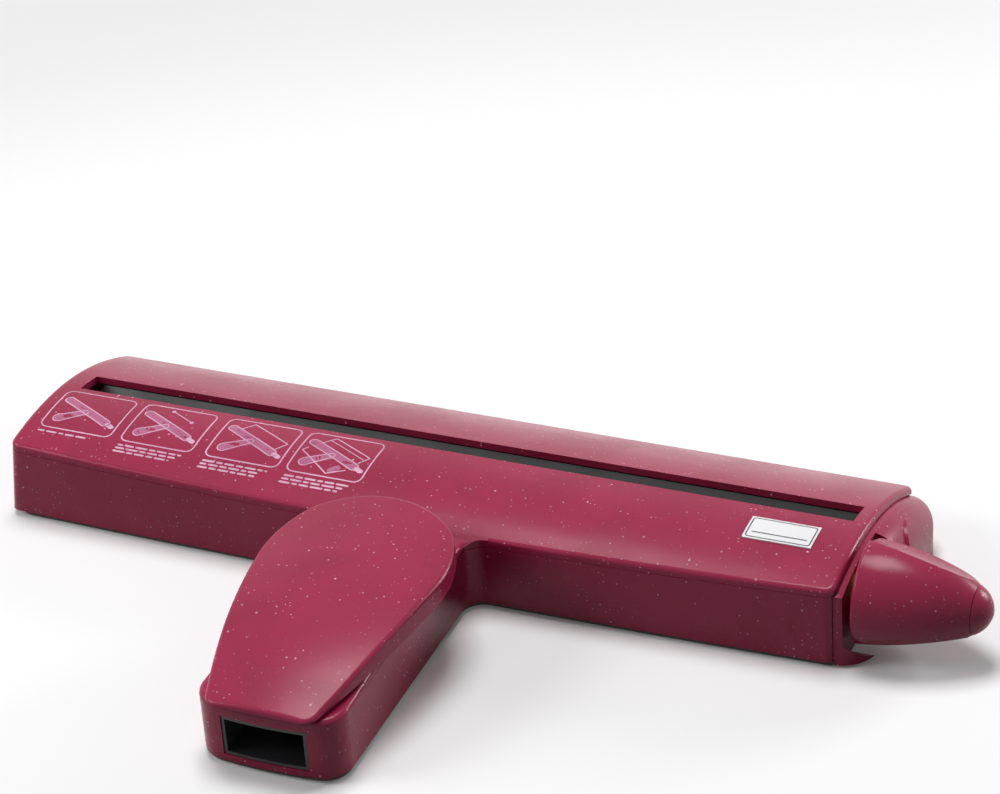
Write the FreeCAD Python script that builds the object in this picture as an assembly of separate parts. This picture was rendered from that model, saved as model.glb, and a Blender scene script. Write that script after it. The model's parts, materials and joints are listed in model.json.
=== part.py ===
import FreeCAD, Part
import math
import os

# Hand cranked paper crimper: two ridged rollers in a T-shaped plastic casing,
# turned by a bullet-shaped knob at the right-hand end. Millimetres.
# X runs along the bar and is 0 at the middle of the handle and of the paper slot.
# Y is 0 at the middle of the bar's depth, with the handle pointing to -Y.
# Z is 0 on the flat underside of the base plate; the rubber feet stand below it.

# Length of the rollers: the casing, slot and exit mouth take their lengths from it
ROLLER_HALF_LENGTH = 109.0

# Bar of the casing
BAR_LEFT_END = 12.7
BAR_LEFT_DRAFT = 3.0
DRAFT_HEIGHT = 22.9
BAR_RIGHT_END = 7.0
BAR_DEPTH = 66.0
FRONT_BOW = 1.8
BAR_CORNER_R = 3.0
WALL = 2.0

# Arched top, as heights above the underside and distances behind the front wall.
# The top line starts ahead of the front wall and ends behind the rear one.
TOP_LEAD = 2.4
TOP_TRAIL = 3.0
FRONT_EDGE_Z = 22.0
FRONT_EDGE_DIP = 1.95
CREST_Z = 25.7
CREST_BACK = 18.0
SHOULDER_Z = 24.4
SHOULDER_BACK = 36.6
HIP_Z = 20.2
HIP_BACK = 51.7
REAR_EDGE_Z = 12.3
LID_THICKNESS = 2.0
LID_EDGE_R = 1.4
PARTING_GAP = 0.15
LID_OVERHANG = 1.0

# Handle
HANDLE_HALF_WIDTH = 19.8
HANDLE_ROOT_HALF_WIDTH = 17.6
HANDLE_REACH = 84.5
HANDLE_ROOT_R = 5.0
HANDLE_CORNER_R = 7.0
HANDLE_FRONT_BOW = 1.6
DECK_Z = 19.7
DECK_NOSE_Z = 17.6
DECK_BEND_FROM_NOSE = 27.5
DECK_END_FROM_NOSE = 18.5

# Pocket in the front of the handle
POCKET_WIDTH = 23.2
POCKET_HEIGHT = 11.4
POCKET_Z = 2.9
POCKET_DEPTH = 34.0
LINER_WALL = 0.9
LINER_GAP = 0.1
LINER_SET_BACK = 0.3

# Base plate
BASE_EDGE = 1.1
BASE_TRAY = 1.2
BASE_INSET = 0.8
BASE_LEFT_INSET = 2.8
TRAY_GAP = 0.3
CHANNEL_DEPTH = 1.0
FOOT_R = 5.0
FOOT_PROUD = 0.6
FOOT_RECESS = 0.5
FOOT_RING_GAP = 0.1
FOOT_FROM_END = 21.0
FOOT_FROM_EDGE = 9.0
FOOT_FROM_NOSE = 10.5

# Paper slot in the top and exit mouth in the rear wall
SLOT_END = 2.8
SLOT_BACK = 28.0
SLOT_WIDTH = 9.0
SLOT_LEAD_R = 0.7
EXIT_END = 0.3
EXIT_Z = 2.6
EXIT_HEIGHT = 6.2

# Gear train: a small pinion on the knob's spindle and two equal roller gears
GEAR_MODULE = 0.8
PINION_TEETH = 9
ROLLER_TEETH = 20
PRESSURE_ANGLE = 30.0
ADDENDUM = 0.8
DEDENDUM = 1.05
BACKLASH = 0.14
GEAR_FACE = 2.0

# Knob axis and roller height
KNOB_BACK = 14.4
KNOB_Z = 14.9
ROLLER_Z = 12.0

# Rollers
RIDGES = 9
RIDGE_TIP_R = 8.5
RIDGE_ROOT_R = 6.9
SHAFT_R = 2.5

# Side frames, bushes and clips
FRAME_THICKNESS = 2.0
FRAME_GAP = 1.0
FRAME_RIM = 6.0
FRAME_HEAD = 7.0
FRAME_FROM_REAR = 10.6
TAB_WIDTH = 5.6
TAB_REACH = 2.8
TAB_THICKNESS = 2.0
BUSH_WALL = 1.0
BUSH_FLANGE = 0.7
BUSH_FLANGE_WALL = 1.2
RUNNING_GAP = 0.04
GEAR_SIDE_GAP = 0.3
CLIP_THICKNESS = 0.6
CLIP_WALL = 1.3
CLIP_GAP = 0.15

# Paper guides
GUIDE_THICKNESS = 0.8
GUIDE_LIP_Z = 22.9
GUIDE_LIP_CLEAR = 0.5
GUIDE_TIP_Z = 18.3
GUIDE_TIP_CLEAR = 1.2
RAMP_PEAK_RISE = 3.4
RAMP_PEAK_LEAD = 2.6
RAMP_TOE_LEAD = 4.6
RAMP_TAIL = 4.0
RAMP_LIP = 0.3

# End cap and the pocket that the knob turns in
CAP_REACH = 8.0
CAP_HALF_DEPTH = 32.0
CAP_FRONT_Z = 20.6
CAP_REAR_Z = 11.6
CAP_NARROWING = 0.32
CAP_LOWERING = 0.5
CAP_FOOT_Z = 0.2
CAP_WALL = 1.8
CAP_FLOOR_OUT = 1.4
CAP_FLOOR = 1.5
CAP_POCKET_GAP = 1.9
CAP_BOSS_R = 6.8
CAP_BOSS_PROUD = 0.8

# Knob
KNOB_R = 14.1
KNOB_GAP = 1.3
KNOB_RIM_R = 13.0
KNOB_RIM = 1.2
KNOB_MID_R = 12.6
KNOB_MID = 15.5
KNOB_BODY_LENGTH = 28.4
KNOB_NECK_R = 6.3
NOSE_LENGTH = 4.2
NOSE_GAP = 0.15
NOSE_STEM = 3.2
NOSE_FLAT_R = 0.4
FLUTES = 2
FLUTE_R = 30.0
FLUTE_ANGLE = 29.0
FLUTE_DEPTH = 1.5
FLUTE_END = 1.3
FLUTE_TAIL_R = 7.2
KNOB_BORE_FROM_END = 9.4
KNOB_WEB = 2.6
SCREW_HEAD_R = 2.6
SCREW_HEAD = 1.6
SCREW_R = 1.2
SCREW_GRIP = 5.8
SCREW_GAP = 0.1
SPACER_R = 6.5
SPACER_GAP = 0.15

# Press lever on top of the handle
LEVER_OVERHANG = 1.9
LEVER_TAIL = 4.8
LEVER_BEND_SHARE = 0.7
LEVER_WIDEST_SHARE = 0.346
LEVER_CORNER_SHARE = 0.104
LEVER_FRONT_HALF = 14.2
LEVER_BEND_HALF = 20.6
LEVER_WIDEST_HALF = 25.0
LEVER_ROUND_HALF = 24.1
LEVER_CORNER_HALF = 20.0
LEVER_FRONT_Z = 20.1
LEVER_BEND_Z = 26.8
LEVER_MIDDLE_Z = 30.4
LEVER_TAIL_Z = 31.4
LEVER_CROWN_R = 130.0
LEVER_SKIRT_FRONT_Z = 18.3
LEVER_SKIRT_BEND_Z = 20.6
LEVER_SKIRT_TAIL_Z = 24.7
LEVER_WALL = 2.0
LEVER_EDGE_R = 1.3
LEVER_FRONT_CORNER_R = 4.0
LEVER_TAIL_CORNER_R = 5.0
HINGE_FROM_NOSE = 4.5
HINGE_Z = 17.45
HINGE_R = 1.0
HINGE_PIN_HALF = 12.6
LUG_WALL = 0.9
LUG_X = 5.4
LUG_WIDTH = 3.5
EAR_GAP = 0.4
EAR_WIDTH = 3.0
EAR_DEPTH = 5.4
EAR_FOOT_Z = 15.4
EAR_HEAD = 1.4
HOOK_HALF = 4.0
HOOK_BACK = 12.5
HOOK_THICKNESS = 1.8
HOOK_BARB = 1.6
HOOK_GAP = 0.3
HOOK_SLOT_GAP = 0.8
SPRING_BACK = 28.0
SPRING_R = 4.5
SPRING_WIRE_R = 0.6
SPRING_TURNS = 3
SPRING_RUNS_PER_TURN = 12
SPRING_PEG = 1.4
SPRING_PEG_GAP = 0.3
SPRING_SEAT_GAP = 0.3

# Label plate on the lid
LABEL_FROM_END = 19.6
LABEL_WIDTH = 18.2
LABEL_BACK = 12.8
LABEL_DEPTH = 9.0
LABEL_THICKNESS = 0.3
LABEL_SEAT_GAP = 0.02

# Casing and frame screws, driven up through the base plate
POST_R = 2.6
POST_FROM_EDGE = 5.0
POST_FROM_LEFT = 8.7
POST_FROM_RIGHT = 3.6
POST_FRONT_FROM_RIGHT = 12.0
POST_MID_SHARE = 0.55
POST_HANDLE_X = 11.5
POST_HANDLE_BACK = 29.0
POST_ROOT = 0.8
CASE_SCREW_R = 1.2
CASE_SCREW_GAP = 0.05
CASE_SCREW_HEAD_R = 2.1
CASE_SCREW_HEAD = 0.9
CASE_SCREW_LENGTH = 8.0
CASE_SCREW_BOTTOM_GAP = 0.5
FRAME_SCREW_LENGTH = 2.9
FRAME_SCREW_OUT = 0.2

# Places that follow from the sizes above
FAR = 250.0
UPRIGHT_LENGTH = 5.0
PICK_REACH = 2.5
MITRED = 1
BAR_LEFT = ROLLER_HALF_LENGTH + BAR_LEFT_END
BAR_RIGHT = ROLLER_HALF_LENGTH + BAR_RIGHT_END
SLOT_HALF_LENGTH = ROLLER_HALF_LENGTH + SLOT_END
EXIT_HALF_LENGTH = ROLLER_HALF_LENGTH + EXIT_END
FRONT_Y = -BAR_DEPTH / 2
REAR_Y = BAR_DEPTH / 2
BAR_MID_X = (BAR_RIGHT - BAR_LEFT) / 2
BAR_HALF = (BAR_RIGHT + BAR_LEFT) / 2
WALL_RIGHT_X = BAR_RIGHT - LID_OVERHANG
HANDLE_FRONT_Y = FRONT_Y - HANDLE_REACH
DECK_BEND_Y = HANDLE_FRONT_Y + DECK_BEND_FROM_NOSE
DECK_END_Y = HANDLE_FRONT_Y + DECK_END_FROM_NOSE
DECK_ROOT_Z = FRONT_EDGE_Z - FRONT_EDGE_DIP
BASE_TOP = BASE_EDGE + BASE_TRAY
CHANNEL_Z = BASE_TOP - CHANNEL_DEPTH
SLOT_FRONT_Y = FRONT_Y + SLOT_BACK
SLOT_REAR_Y = SLOT_FRONT_Y + SLOT_WIDTH
KNOB_Y = FRONT_Y + KNOB_BACK
PINION_PITCH_R = GEAR_MODULE * PINION_TEETH / 2
ROLLER_PITCH_R = GEAR_MODULE * ROLLER_TEETH / 2
KNOB_RISE = KNOB_Z - ROLLER_Z
PINION_SPREAD = math.sqrt((PINION_PITCH_R + ROLLER_PITCH_R) ** 2 - KNOB_RISE ** 2)
FRONT_ROLLER_Y = KNOB_Y + PINION_SPREAD
REAR_ROLLER_Y = FRONT_ROLLER_Y + 2 * ROLLER_PITCH_R
NIP_Y = (FRONT_ROLLER_Y + REAR_ROLLER_Y) / 2
FRAME_X = ROLLER_HALF_LENGTH + FRAME_GAP
FRAME_OUTER_X = FRAME_X + FRAME_THICKNESS
FRAME_FRONT_Y = KNOB_Y - FRAME_RIM
FRAME_REAR_Y = REAR_Y - FRAME_FROM_REAR
BUSH_BORE_R = SHAFT_R + RUNNING_GAP
BUSH_R = BUSH_BORE_R + BUSH_WALL
GEAR_X = FRAME_OUTER_X + BUSH_FLANGE + GEAR_SIDE_GAP
GEAR_END_X = GEAR_X + GEAR_FACE
CLIP_X = FRAME_OUTER_X + BUSH_FLANGE + CLIP_GAP
CAP_X = WALL_RIGHT_X + PARTING_GAP
CAP_END_X = BAR_RIGHT + CAP_REACH
CAP_FLOOR_X = BAR_RIGHT + CAP_FLOOR_OUT
KNOB_X = CAP_FLOOR_X + BUSH_FLANGE + KNOB_GAP
KNOB_END_X = KNOB_X + KNOB_BODY_LENGTH
SPINDLE_END_X = KNOB_END_X - KNOB_BORE_FROM_END
SPINDLE_START_X = FRAME_X - CLIP_THICKNESS - CLIP_GAP
WEB_END_X = SPINDLE_END_X + KNOB_WEB
HINGE_Y = HANDLE_FRONT_Y + HINGE_FROM_NOSE
LEVER_FRONT = HANDLE_REACH + LEVER_OVERHANG
LEVER_LENGTH = LEVER_FRONT - LEVER_TAIL
LEVER_BEND = LEVER_TAIL + LEVER_BEND_SHARE * LEVER_LENGTH
LEVER_WIDEST = LEVER_TAIL + LEVER_WIDEST_SHARE * LEVER_LENGTH
LEVER_CORNER = LEVER_TAIL + LEVER_CORNER_SHARE * LEVER_LENGTH
LEVER_FRONT_Y = FRONT_Y - LEVER_FRONT
LEVER_TAIL_Y = FRONT_Y - LEVER_TAIL
LABEL_X = BAR_RIGHT - LABEL_FROM_END
SPRING_Y = FRONT_Y - SPRING_BACK
X_AXIS = FreeCAD.Vector(1, 0, 0)
Z_AXIS = FreeCAD.Vector(0, 0, 1)


def vec(x, y, z):
    """Point or direction."""
    return FreeCAD.Vector(x, y, z)


def box(x0, x1, y0, y1, z0, z1):
    """Box between two corners."""
    return Part.makeBox(x1 - x0, y1 - y0, z1 - z0, vec(x0, y0, z0))


def rod_x(radius, x0, x1, y, z):
    """Cylinder along X."""
    return Part.makeCylinder(radius, x1 - x0, vec(x0, y, z), X_AXIS)


def tube_x(outer, inner, x0, x1, y, z):
    """Tube along X."""
    return rod_x(outer, x0, x1, y, z).cut(rod_x(inner, x0 - 1, x1 + 1, y, z))


def rod_z(radius, x, y, z0, z1):
    """Cylinder along Z."""
    return Part.makeCylinder(radius, z1 - z0, vec(x, y, z0), Z_AXIS)


def smooth(points):
    """Smooth edge through points."""
    curve = Part.BSplineCurve()
    curve.interpolate(points)
    return curve.toShape()


def fuse_all(shapes):
    """One solid from overlapping pieces."""
    return shapes[0].multiFuse(shapes[1:]).removeSplitter()


def line(p, q):
    """Straight edge."""
    return Part.LineSegment(p, q).toShape()


def arc(p, q, r):
    """Edge of the circle through three points."""
    return Part.Arc(p, q, r).toShape()


def prism_x(points, x0, x1):
    """Straight-sided outline in Y and Z, drawn out along X."""
    corners = [vec(x0, y, z) for y, z in points]
    face = Part.Face(Part.makePolygon(corners + corners[:1]))
    return face.extrude(vec(x1 - x0, 0, 0))


def fillet_upright(solid, corners):
    """Round upright edges: corners is a list of (x, y, radius) in plan."""
    for x, y, radius in corners:
        picked = []
        for edge in solid.Edges:
            ends = [v.Point for v in edge.Vertexes]
            if len(ends) == 2 and abs(ends[0].z - ends[1].z) > UPRIGHT_LENGTH:
                middle = (ends[0] + ends[1]) * 0.5
                if math.hypot(middle.x - x, middle.y - y) < PICK_REACH:
                    picked.append(edge)
        solid = solid.makeFillet(radius, picked)
    return solid


def is_upright(face):
    """Whether a face stands like a side wall."""
    u0, u1, v0, v1 = face.ParameterRange
    return abs(face.normalAt((u0 + u1) / 2, (v0 + v1) / 2).z) < 0.2


def round_rim(solid, radius, floor_z, rear_y=FAR):
    """Round the edges above floor_z, and ahead of rear_y, where upright sides meet a top."""
    rim = []
    for edge in solid.Edges:
        if edge.BoundBox.ZMin > floor_z and edge.CenterOfMass.y < rear_y:
            faces = solid.ancestorsOfType(edge, Part.Face)
            if len(faces) == 2 and is_upright(faces[0]) != is_upright(faces[1]):
                rim.append(edge)
    return solid.makeFillet(radius, rim)


def top_profile(x, drop):
    """Points of the casing's top line at x, from the handle's nose to the rear edge."""
    along = (x - BAR_MID_X) / BAR_HALF
    lift = FRONT_EDGE_DIP * along ** 2
    line_up = [
        (HANDLE_FRONT_Y - 2 * HANDLE_FRONT_BOW, DECK_NOSE_Z + lift),
        (DECK_BEND_Y, DECK_Z + lift),
        (FRONT_Y - TOP_LEAD, DECK_ROOT_Z + lift),
        (FRONT_Y + CREST_BACK, CREST_Z),
        (FRONT_Y + SHOULDER_BACK, SHOULDER_Z),
        (FRONT_Y + HIP_BACK, HIP_Z),
        (REAR_Y + TOP_TRAIL, REAR_EDGE_Z),
    ]
    return [vec(x, y, z - drop) for y, z in line_up]


def deck_height(y):
    """Height of the handle's deck on the middle line, between its bend and the bar."""
    share = (y - DECK_BEND_Y) / (FRONT_Y - TOP_LEAD - DECK_BEND_Y)
    return DECK_Z + (DECK_ROOT_Z - DECK_Z) * share


def casing_top(drop):
    """Everything under the casing's arched top, lowered by drop."""
    below = -2 * FRONT_EDGE_Z
    reach = 1.15 * BAR_HALF
    wires = []
    for x in (BAR_MID_X - reach, BAR_MID_X, BAR_MID_X + reach):
        nose, bend, front, crest, shoulder, hip, rear = top_profile(x, drop)
        toe = vec(x, nose.y, below)
        heel = vec(x, rear.y, below)
        wires.append(Part.Wire([
            line(nose, bend),
            line(bend, front),
            smooth([front, crest, shoulder, hip, rear]),
            line(rear, heel),
            line(heel, toe),
            line(toe, nose),
        ]))
    return Part.makeLoft(wires, True, False)


def handle_plan(inset, low, high):
    """Upright prism on the handle's plan, reaching back into the bar."""
    root_half = HANDLE_ROOT_HALF_WIDTH - inset
    front_half = HANDLE_HALF_WIDTH - inset
    nose = HANDLE_FRONT_Y + inset
    side = nose + HANDLE_FRONT_BOW
    inside = FRONT_Y + BAR_DEPTH / 4
    edges = [
        line(vec(-root_half, inside, low), vec(-root_half, FRONT_Y, low)),
        line(vec(-root_half, FRONT_Y, low), vec(-front_half, side, low)),
        arc(vec(-front_half, side, low), vec(0, nose, low), vec(front_half, side, low)),
        line(vec(front_half, side, low), vec(root_half, FRONT_Y, low)),
        line(vec(root_half, FRONT_Y, low), vec(root_half, inside, low)),
        line(vec(root_half, inside, low), vec(-root_half, inside, low)),
    ]
    return Part.Face(Part.Wire(edges)).extrude(vec(0, 0, high - low))


def bar_plan(inset, left_inset=0.0):
    """Upright prism on the bar's plan, drawn in by inset, with the draft of its left end."""
    low, high = -5.0, 45.0
    left = -BAR_LEFT + inset + left_inset
    front = FRONT_Y + inset
    rear = REAR_Y - inset
    edges = [
        arc(vec(left, front, low), vec(BAR_MID_X, front - FRONT_BOW, low), vec(BAR_RIGHT, front, low)),
        line(vec(BAR_RIGHT, front, low), vec(BAR_RIGHT, rear, low)),
        line(vec(BAR_RIGHT, rear, low), vec(left, rear, low)),
        line(vec(left, rear, low), vec(left, front, low)),
    ]
    bar = Part.Face(Part.Wire(edges)).extrude(vec(0, 0, high - low))
    slope = BAR_LEFT_DRAFT / DRAFT_HEIGHT
    wedge_points = [
        (left + slope * low, low),
        (left + slope * high, high),
        (left - FAR, high),
        (left - FAR, low),
    ]
    corners = [vec(x, front - 2 * FRONT_BOW, z) for x, z in wedge_points]
    wedge = Part.Face(Part.makePolygon(corners + corners[:1])).extrude(vec(0, 2 * BAR_DEPTH, 0))
    left_middle = left + slope * (low + high) / 2
    corner_r = max(BAR_CORNER_R - inset, 0.8)
    return fillet_upright(bar.cut(wedge), [
        (left_middle, front, corner_r),
        (left_middle, rear, corner_r),
        (BAR_RIGHT, rear, corner_r),
        (BAR_RIGHT, front, corner_r),
    ])


def casing_plan(inset, right=BAR_RIGHT, left_inset=0.0):
    """Upright prism on the casing's T-shaped plan, drawn in by inset."""
    low, high = -5.0, 45.0
    plan = bar_plan(inset, left_inset).fuse(handle_plan(inset, low, high)).removeSplitter()
    nose_r = HANDLE_CORNER_R - inset
    nose_half = HANDLE_HALF_WIDTH - inset
    nose_side = HANDLE_FRONT_Y + inset + HANDLE_FRONT_BOW
    root_r = HANDLE_ROOT_R + inset
    root_half = HANDLE_ROOT_HALF_WIDTH - inset
    root_y = FRONT_Y - FRONT_BOW + inset
    plan = fillet_upright(plan, [
        (-nose_half, nose_side, nose_r),
        (nose_half, nose_side, nose_r),
        (-root_half, root_y, root_r),
        (root_half, root_y, root_r),
    ])
    if right > BAR_RIGHT:
        mouth = box(BAR_RIGHT - 2 * BAR_CORNER_R, right, FRONT_Y + inset, REAR_Y - inset, low, high)
        plan = plan.fuse(mouth).removeSplitter()
    return plan


def casing_block():
    """Solid block of the whole casing with its top edges rounded."""
    floor_z = REAR_EDGE_Z - LID_EDGE_R
    bar = round_rim(bar_plan(0).common(casing_top(0)), LID_EDGE_R, floor_z)
    root = HANDLE_ROOT_HALF_WIDTH + HANDLE_ROOT_R + 1
    zone = box(-root, root, 2 * HANDLE_FRONT_Y, FRONT_Y - 0.8, -FAR, FAR)
    handle = casing_plan(0).common(zone).common(casing_top(0))
    handle = round_rim(handle, LID_EDGE_R, floor_z, FRONT_Y - TOP_LEAD)
    return bar.fuse(handle).removeSplitter()


def post_places():
    """Plan places of the screw posts that hang from the lid."""
    front = FRONT_Y + POST_FROM_EDGE
    rear = REAR_Y - POST_FROM_EDGE - 0.5
    handle = FRONT_Y - POST_HANDLE_BACK
    left = POST_FROM_LEFT - BAR_LEFT
    middle = POST_MID_SHARE * ROLLER_HALF_LENGTH
    return [
        (left, front),
        (left, rear),
        (BAR_RIGHT - POST_FRONT_FROM_RIGHT, front),
        (BAR_RIGHT - POST_FROM_RIGHT, rear),
        (-middle, front),
        (middle, front),
        (-POST_HANDLE_X, handle),
        (POST_HANDLE_X, handle),
    ]


def frame_screw_places():
    """Plan places of the screws under the side frames' tabs."""
    x = FRAME_OUTER_X + FRAME_SCREW_OUT
    return [(side * x, y) for side in (-1, 1) for y in tab_middles()]


def tab_middles():
    """Where the tabs of a side frame stand along Y."""
    return [FRAME_FRONT_Y + TAB_WIDTH / 2, FRAME_REAR_Y - TAB_WIDTH / 2]


def top_cover():
    """T-shaped lid with the paper slot, its screw posts and the spring's peg."""
    lid = casing_block().cut(casing_top(LID_THICKNESS))
    lid = lid.cut(box(-BAR_DEPTH, BAR_DEPTH, HANDLE_FRONT_Y - BAR_DEPTH, DECK_END_Y, 0, 2 * CREST_Z))
    lid = lid.cut(box(-SLOT_HALF_LENGTH, SLOT_HALF_LENGTH, SLOT_FRONT_Y, SLOT_REAR_Y, 0, 2 * CREST_Z))
    hook_y = FRONT_Y - HOOK_BACK
    lid = lid.cut(box(
        -HOOK_HALF - HOOK_SLOT_GAP,
        HOOK_HALF + HOOK_SLOT_GAP,
        hook_y - HOOK_THICKNESS - HOOK_BARB - HOOK_SLOT_GAP,
        hook_y + 2 * HOOK_SLOT_GAP,
        0,
        2 * CREST_Z,
    ))
    room = casing_top(LID_THICKNESS - POST_ROOT)
    for x, y in post_places():
        lid = lid.fuse(rod_z(POST_R, x, y, BASE_TOP, 2 * CREST_Z).common(room))
    seat = deck_height(SPRING_Y)
    peg_r = SPRING_R - SPRING_WIRE_R - SPRING_PEG_GAP
    lid = lid.fuse(rod_z(peg_r, 0, SPRING_Y, seat - LID_THICKNESS / 2, seat + SPRING_PEG))
    depth = CASE_SCREW_LENGTH + CASE_SCREW_BOTTOM_GAP
    for x, y in post_places():
        lid = lid.cut(rod_z(CASE_SCREW_R + CASE_SCREW_GAP, x, y, 0, CASE_SCREW_HEAD + depth))
    return lid.removeSplitter()


def housing():
    """Wall frame of the bar and handle, open above and below."""
    under_lid = casing_plan(0).common(casing_top(LID_THICKNESS + PARTING_GAP))
    nose_zone = box(-BAR_DEPTH, BAR_DEPTH, HANDLE_FRONT_Y - BAR_DEPTH, DECK_END_Y - PARTING_GAP, 0, 2 * CREST_Z)
    nose = casing_block().common(nose_zone)
    shell = under_lid.fuse(nose).removeSplitter()
    window = HINGE_PIN_HALF + PARTING_GAP
    roof = nose_zone.cut(casing_top(LID_THICKNESS)).cut(box(-window, window, -FAR, FAR, -FAR, FAR))
    shell = shell.cut(casing_plan(WALL, right=FAR).cut(roof))
    shell = shell.cut(box(-FAR, FAR, -FAR, FAR, -FAR, BASE_EDGE + PARTING_GAP))
    shell = shell.cut(box(WALL_RIGHT_X, FAR, -FAR, FAR, -FAR, FAR))
    half = POCKET_WIDTH / 2
    top = POCKET_Z + POCKET_HEIGHT
    shell = shell.cut(box(-half, half, HANDLE_FRONT_Y - 1, HANDLE_FRONT_Y + 3 * WALL, POCKET_Z, top))
    exit_top = EXIT_Z + EXIT_HEIGHT
    shell = shell.cut(box(-EXIT_HALF_LENGTH, EXIT_HALF_LENGTH, REAR_Y - 2 * WALL, REAR_Y + 1, EXIT_Z, exit_top))
    ear_x = LUG_X + LUG_WIDTH + EAR_GAP
    outside = casing_plan(WALL / 2)
    for side in (-1, 1):
        near, far = sorted((side * ear_x, side * (ear_x + EAR_WIDTH)))
        ear = box(near, far, HANDLE_FRONT_Y, HINGE_Y + EAR_DEPTH / 2, EAR_FOOT_Z, HINGE_Z + EAR_HEAD)
        shell = shell.fuse(ear.common(outside))
    shell = shell.cut(rod_x(HINGE_R, -HINGE_PIN_HALF, HINGE_PIN_HALF, HINGE_Y, HINGE_Z))
    return shell.removeSplitter()


def base_plate():
    """Base plate with a raised tray inside the walls, screw seats and foot recesses."""
    right_end = box(CAP_X - 2 * PARTING_GAP, FAR, -FAR, FAR, -FAR, FAR)
    layer = box(-FAR, FAR, -FAR, FAR, 0, BASE_EDGE)
    flange = casing_plan(BASE_INSET, left_inset=BASE_LEFT_INSET).common(layer)
    tray_layer = box(-FAR, FAR, -FAR, FAR, 0, BASE_TOP)
    tray = casing_plan(WALL + TRAY_GAP, left_inset=BASE_LEFT_INSET).common(tray_layer)
    plate = flange.fuse(tray).cut(right_end).removeSplitter()
    tray_rear = REAR_Y - WALL - TRAY_GAP
    half = ROLLER_HALF_LENGTH
    plate = plate.cut(box(-half, half, NIP_Y - RAMP_TOE_LEAD, tray_rear + 1, CHANNEL_Z, BASE_TOP + 1))
    for x, y in post_places() + frame_screw_places():
        plate = plate.cut(rod_z(CASE_SCREW_R + CASE_SCREW_GAP, x, y, -1, BASE_TOP + 1))
        plate = plate.cut(rod_z(CASE_SCREW_HEAD_R + SCREW_GAP, x, y, -1, CASE_SCREW_HEAD))
    for x, y in foot_places():
        plate = plate.cut(rod_z(FOOT_R + FOOT_RING_GAP, x, y, -1, FOOT_RECESS))
    return plate


def foot_places():
    """Plan places of the rubber feet."""
    front = FRONT_Y + FOOT_FROM_EDGE
    rear = REAR_Y - FOOT_FROM_EDGE
    along = ROLLER_HALF_LENGTH - FOOT_FROM_END
    corners = [(side * along, y) for side in (-1, 1) for y in (front, rear)]
    return corners + [(0.0, HANDLE_FRONT_Y + FOOT_FROM_NOSE)]


def rubber_feet():
    """Five feet pressed into the recesses of the base plate."""
    return Part.makeCompound([rod_z(FOOT_R, x, y, -FOOT_PROUD, FOOT_RECESS) for x, y in foot_places()])


def screw_up(x, y, length):
    """Pan head screw under the base plate, pointing up."""
    head = rod_z(CASE_SCREW_HEAD_R, x, y, SCREW_GAP, CASE_SCREW_HEAD)
    shank = rod_z(CASE_SCREW_R, x, y, CASE_SCREW_HEAD - SCREW_GAP, CASE_SCREW_HEAD + length)
    slot = box(x - CASE_SCREW_HEAD_R, x + CASE_SCREW_HEAD_R, y - 0.3, y + 0.3, 0, CASE_SCREW_HEAD / 2)
    return head.fuse(shank).cut(slot).removeSplitter()


def case_screws():
    """Screws from the base plate into the lid's posts."""
    return Part.makeCompound([screw_up(x, y, CASE_SCREW_LENGTH) for x, y in post_places()])


def frame_screws():
    """Short screws from the base plate into the side frames' tabs."""
    return Part.makeCompound([screw_up(x, y, FRAME_SCREW_LENGTH) for x, y in frame_screw_places()])


def handle_liner():
    """Dark box that lines the pocket in the front of the handle."""
    half = POCKET_WIDTH / 2 - LINER_GAP
    low = POCKET_Z + LINER_GAP
    high = POCKET_Z + POCKET_HEIGHT - LINER_GAP
    rear = HANDLE_FRONT_Y + POCKET_DEPTH
    outside = box(-half, half, HANDLE_FRONT_Y - 1, rear, low, high)
    inside = box(
        -half + LINER_WALL,
        half - LINER_WALL,
        HANDLE_FRONT_Y - 2,
        rear - LINER_WALL,
        low + LINER_WALL,
        high - LINER_WALL,
    )
    return outside.cut(inside).common(handle_plan(LINER_SET_BACK, 0, FRONT_EDGE_Z))


def side_frame(side):
    """Bearing plate at one end of the rollers, with two tabs on the base plate."""
    x0, x1 = sorted((side * FRAME_X, side * FRAME_OUTER_X))
    top = ROLLER_Z + FRAME_HEAD
    plate = prism_x([
        (FRAME_FRONT_Y, BASE_TOP),
        (FRAME_REAR_Y, BASE_TOP),
        (FRAME_REAR_Y, BASE_TOP + 2 * TAB_THICKNESS),
        (REAR_ROLLER_Y + FRAME_RIM - 1, top),
        (FRONT_ROLLER_Y, top),
        (KNOB_Y, KNOB_Z + FRAME_RIM),
        (FRAME_FRONT_Y, KNOB_Z + 1),
    ], x0, x1)
    shapes = [plate]
    for y in tab_middles():
        near, far = sorted((side * FRAME_X, side * (FRAME_OUTER_X + TAB_REACH)))
        half = TAB_WIDTH / 2
        shapes.append(box(near, far, y - half, y + half, BASE_TOP, BASE_TOP + TAB_THICKNESS))
    frame = fuse_all(shapes)
    centres = [(FRONT_ROLLER_Y, ROLLER_Z), (REAR_ROLLER_Y, ROLLER_Z)]
    if side > 0:
        centres.append((KNOB_Y, KNOB_Z))
    for y, z in centres:
        frame = frame.cut(rod_x(BUSH_R, x0 - 1, x1 + 1, y, z))
    hole_r = CASE_SCREW_R + CASE_SCREW_GAP
    for x, y in frame_screw_places():
        if x * side > 0:
            frame = frame.cut(rod_z(hole_r, x, y, 0, BASE_TOP + TAB_THICKNESS + 1))
    channel = box(-FAR, FAR, NIP_Y - RAMP_TOE_LEAD, FRAME_REAR_Y - 2 * TAB_WIDTH, 0, BASE_TOP)
    return frame.cut(channel)


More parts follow.
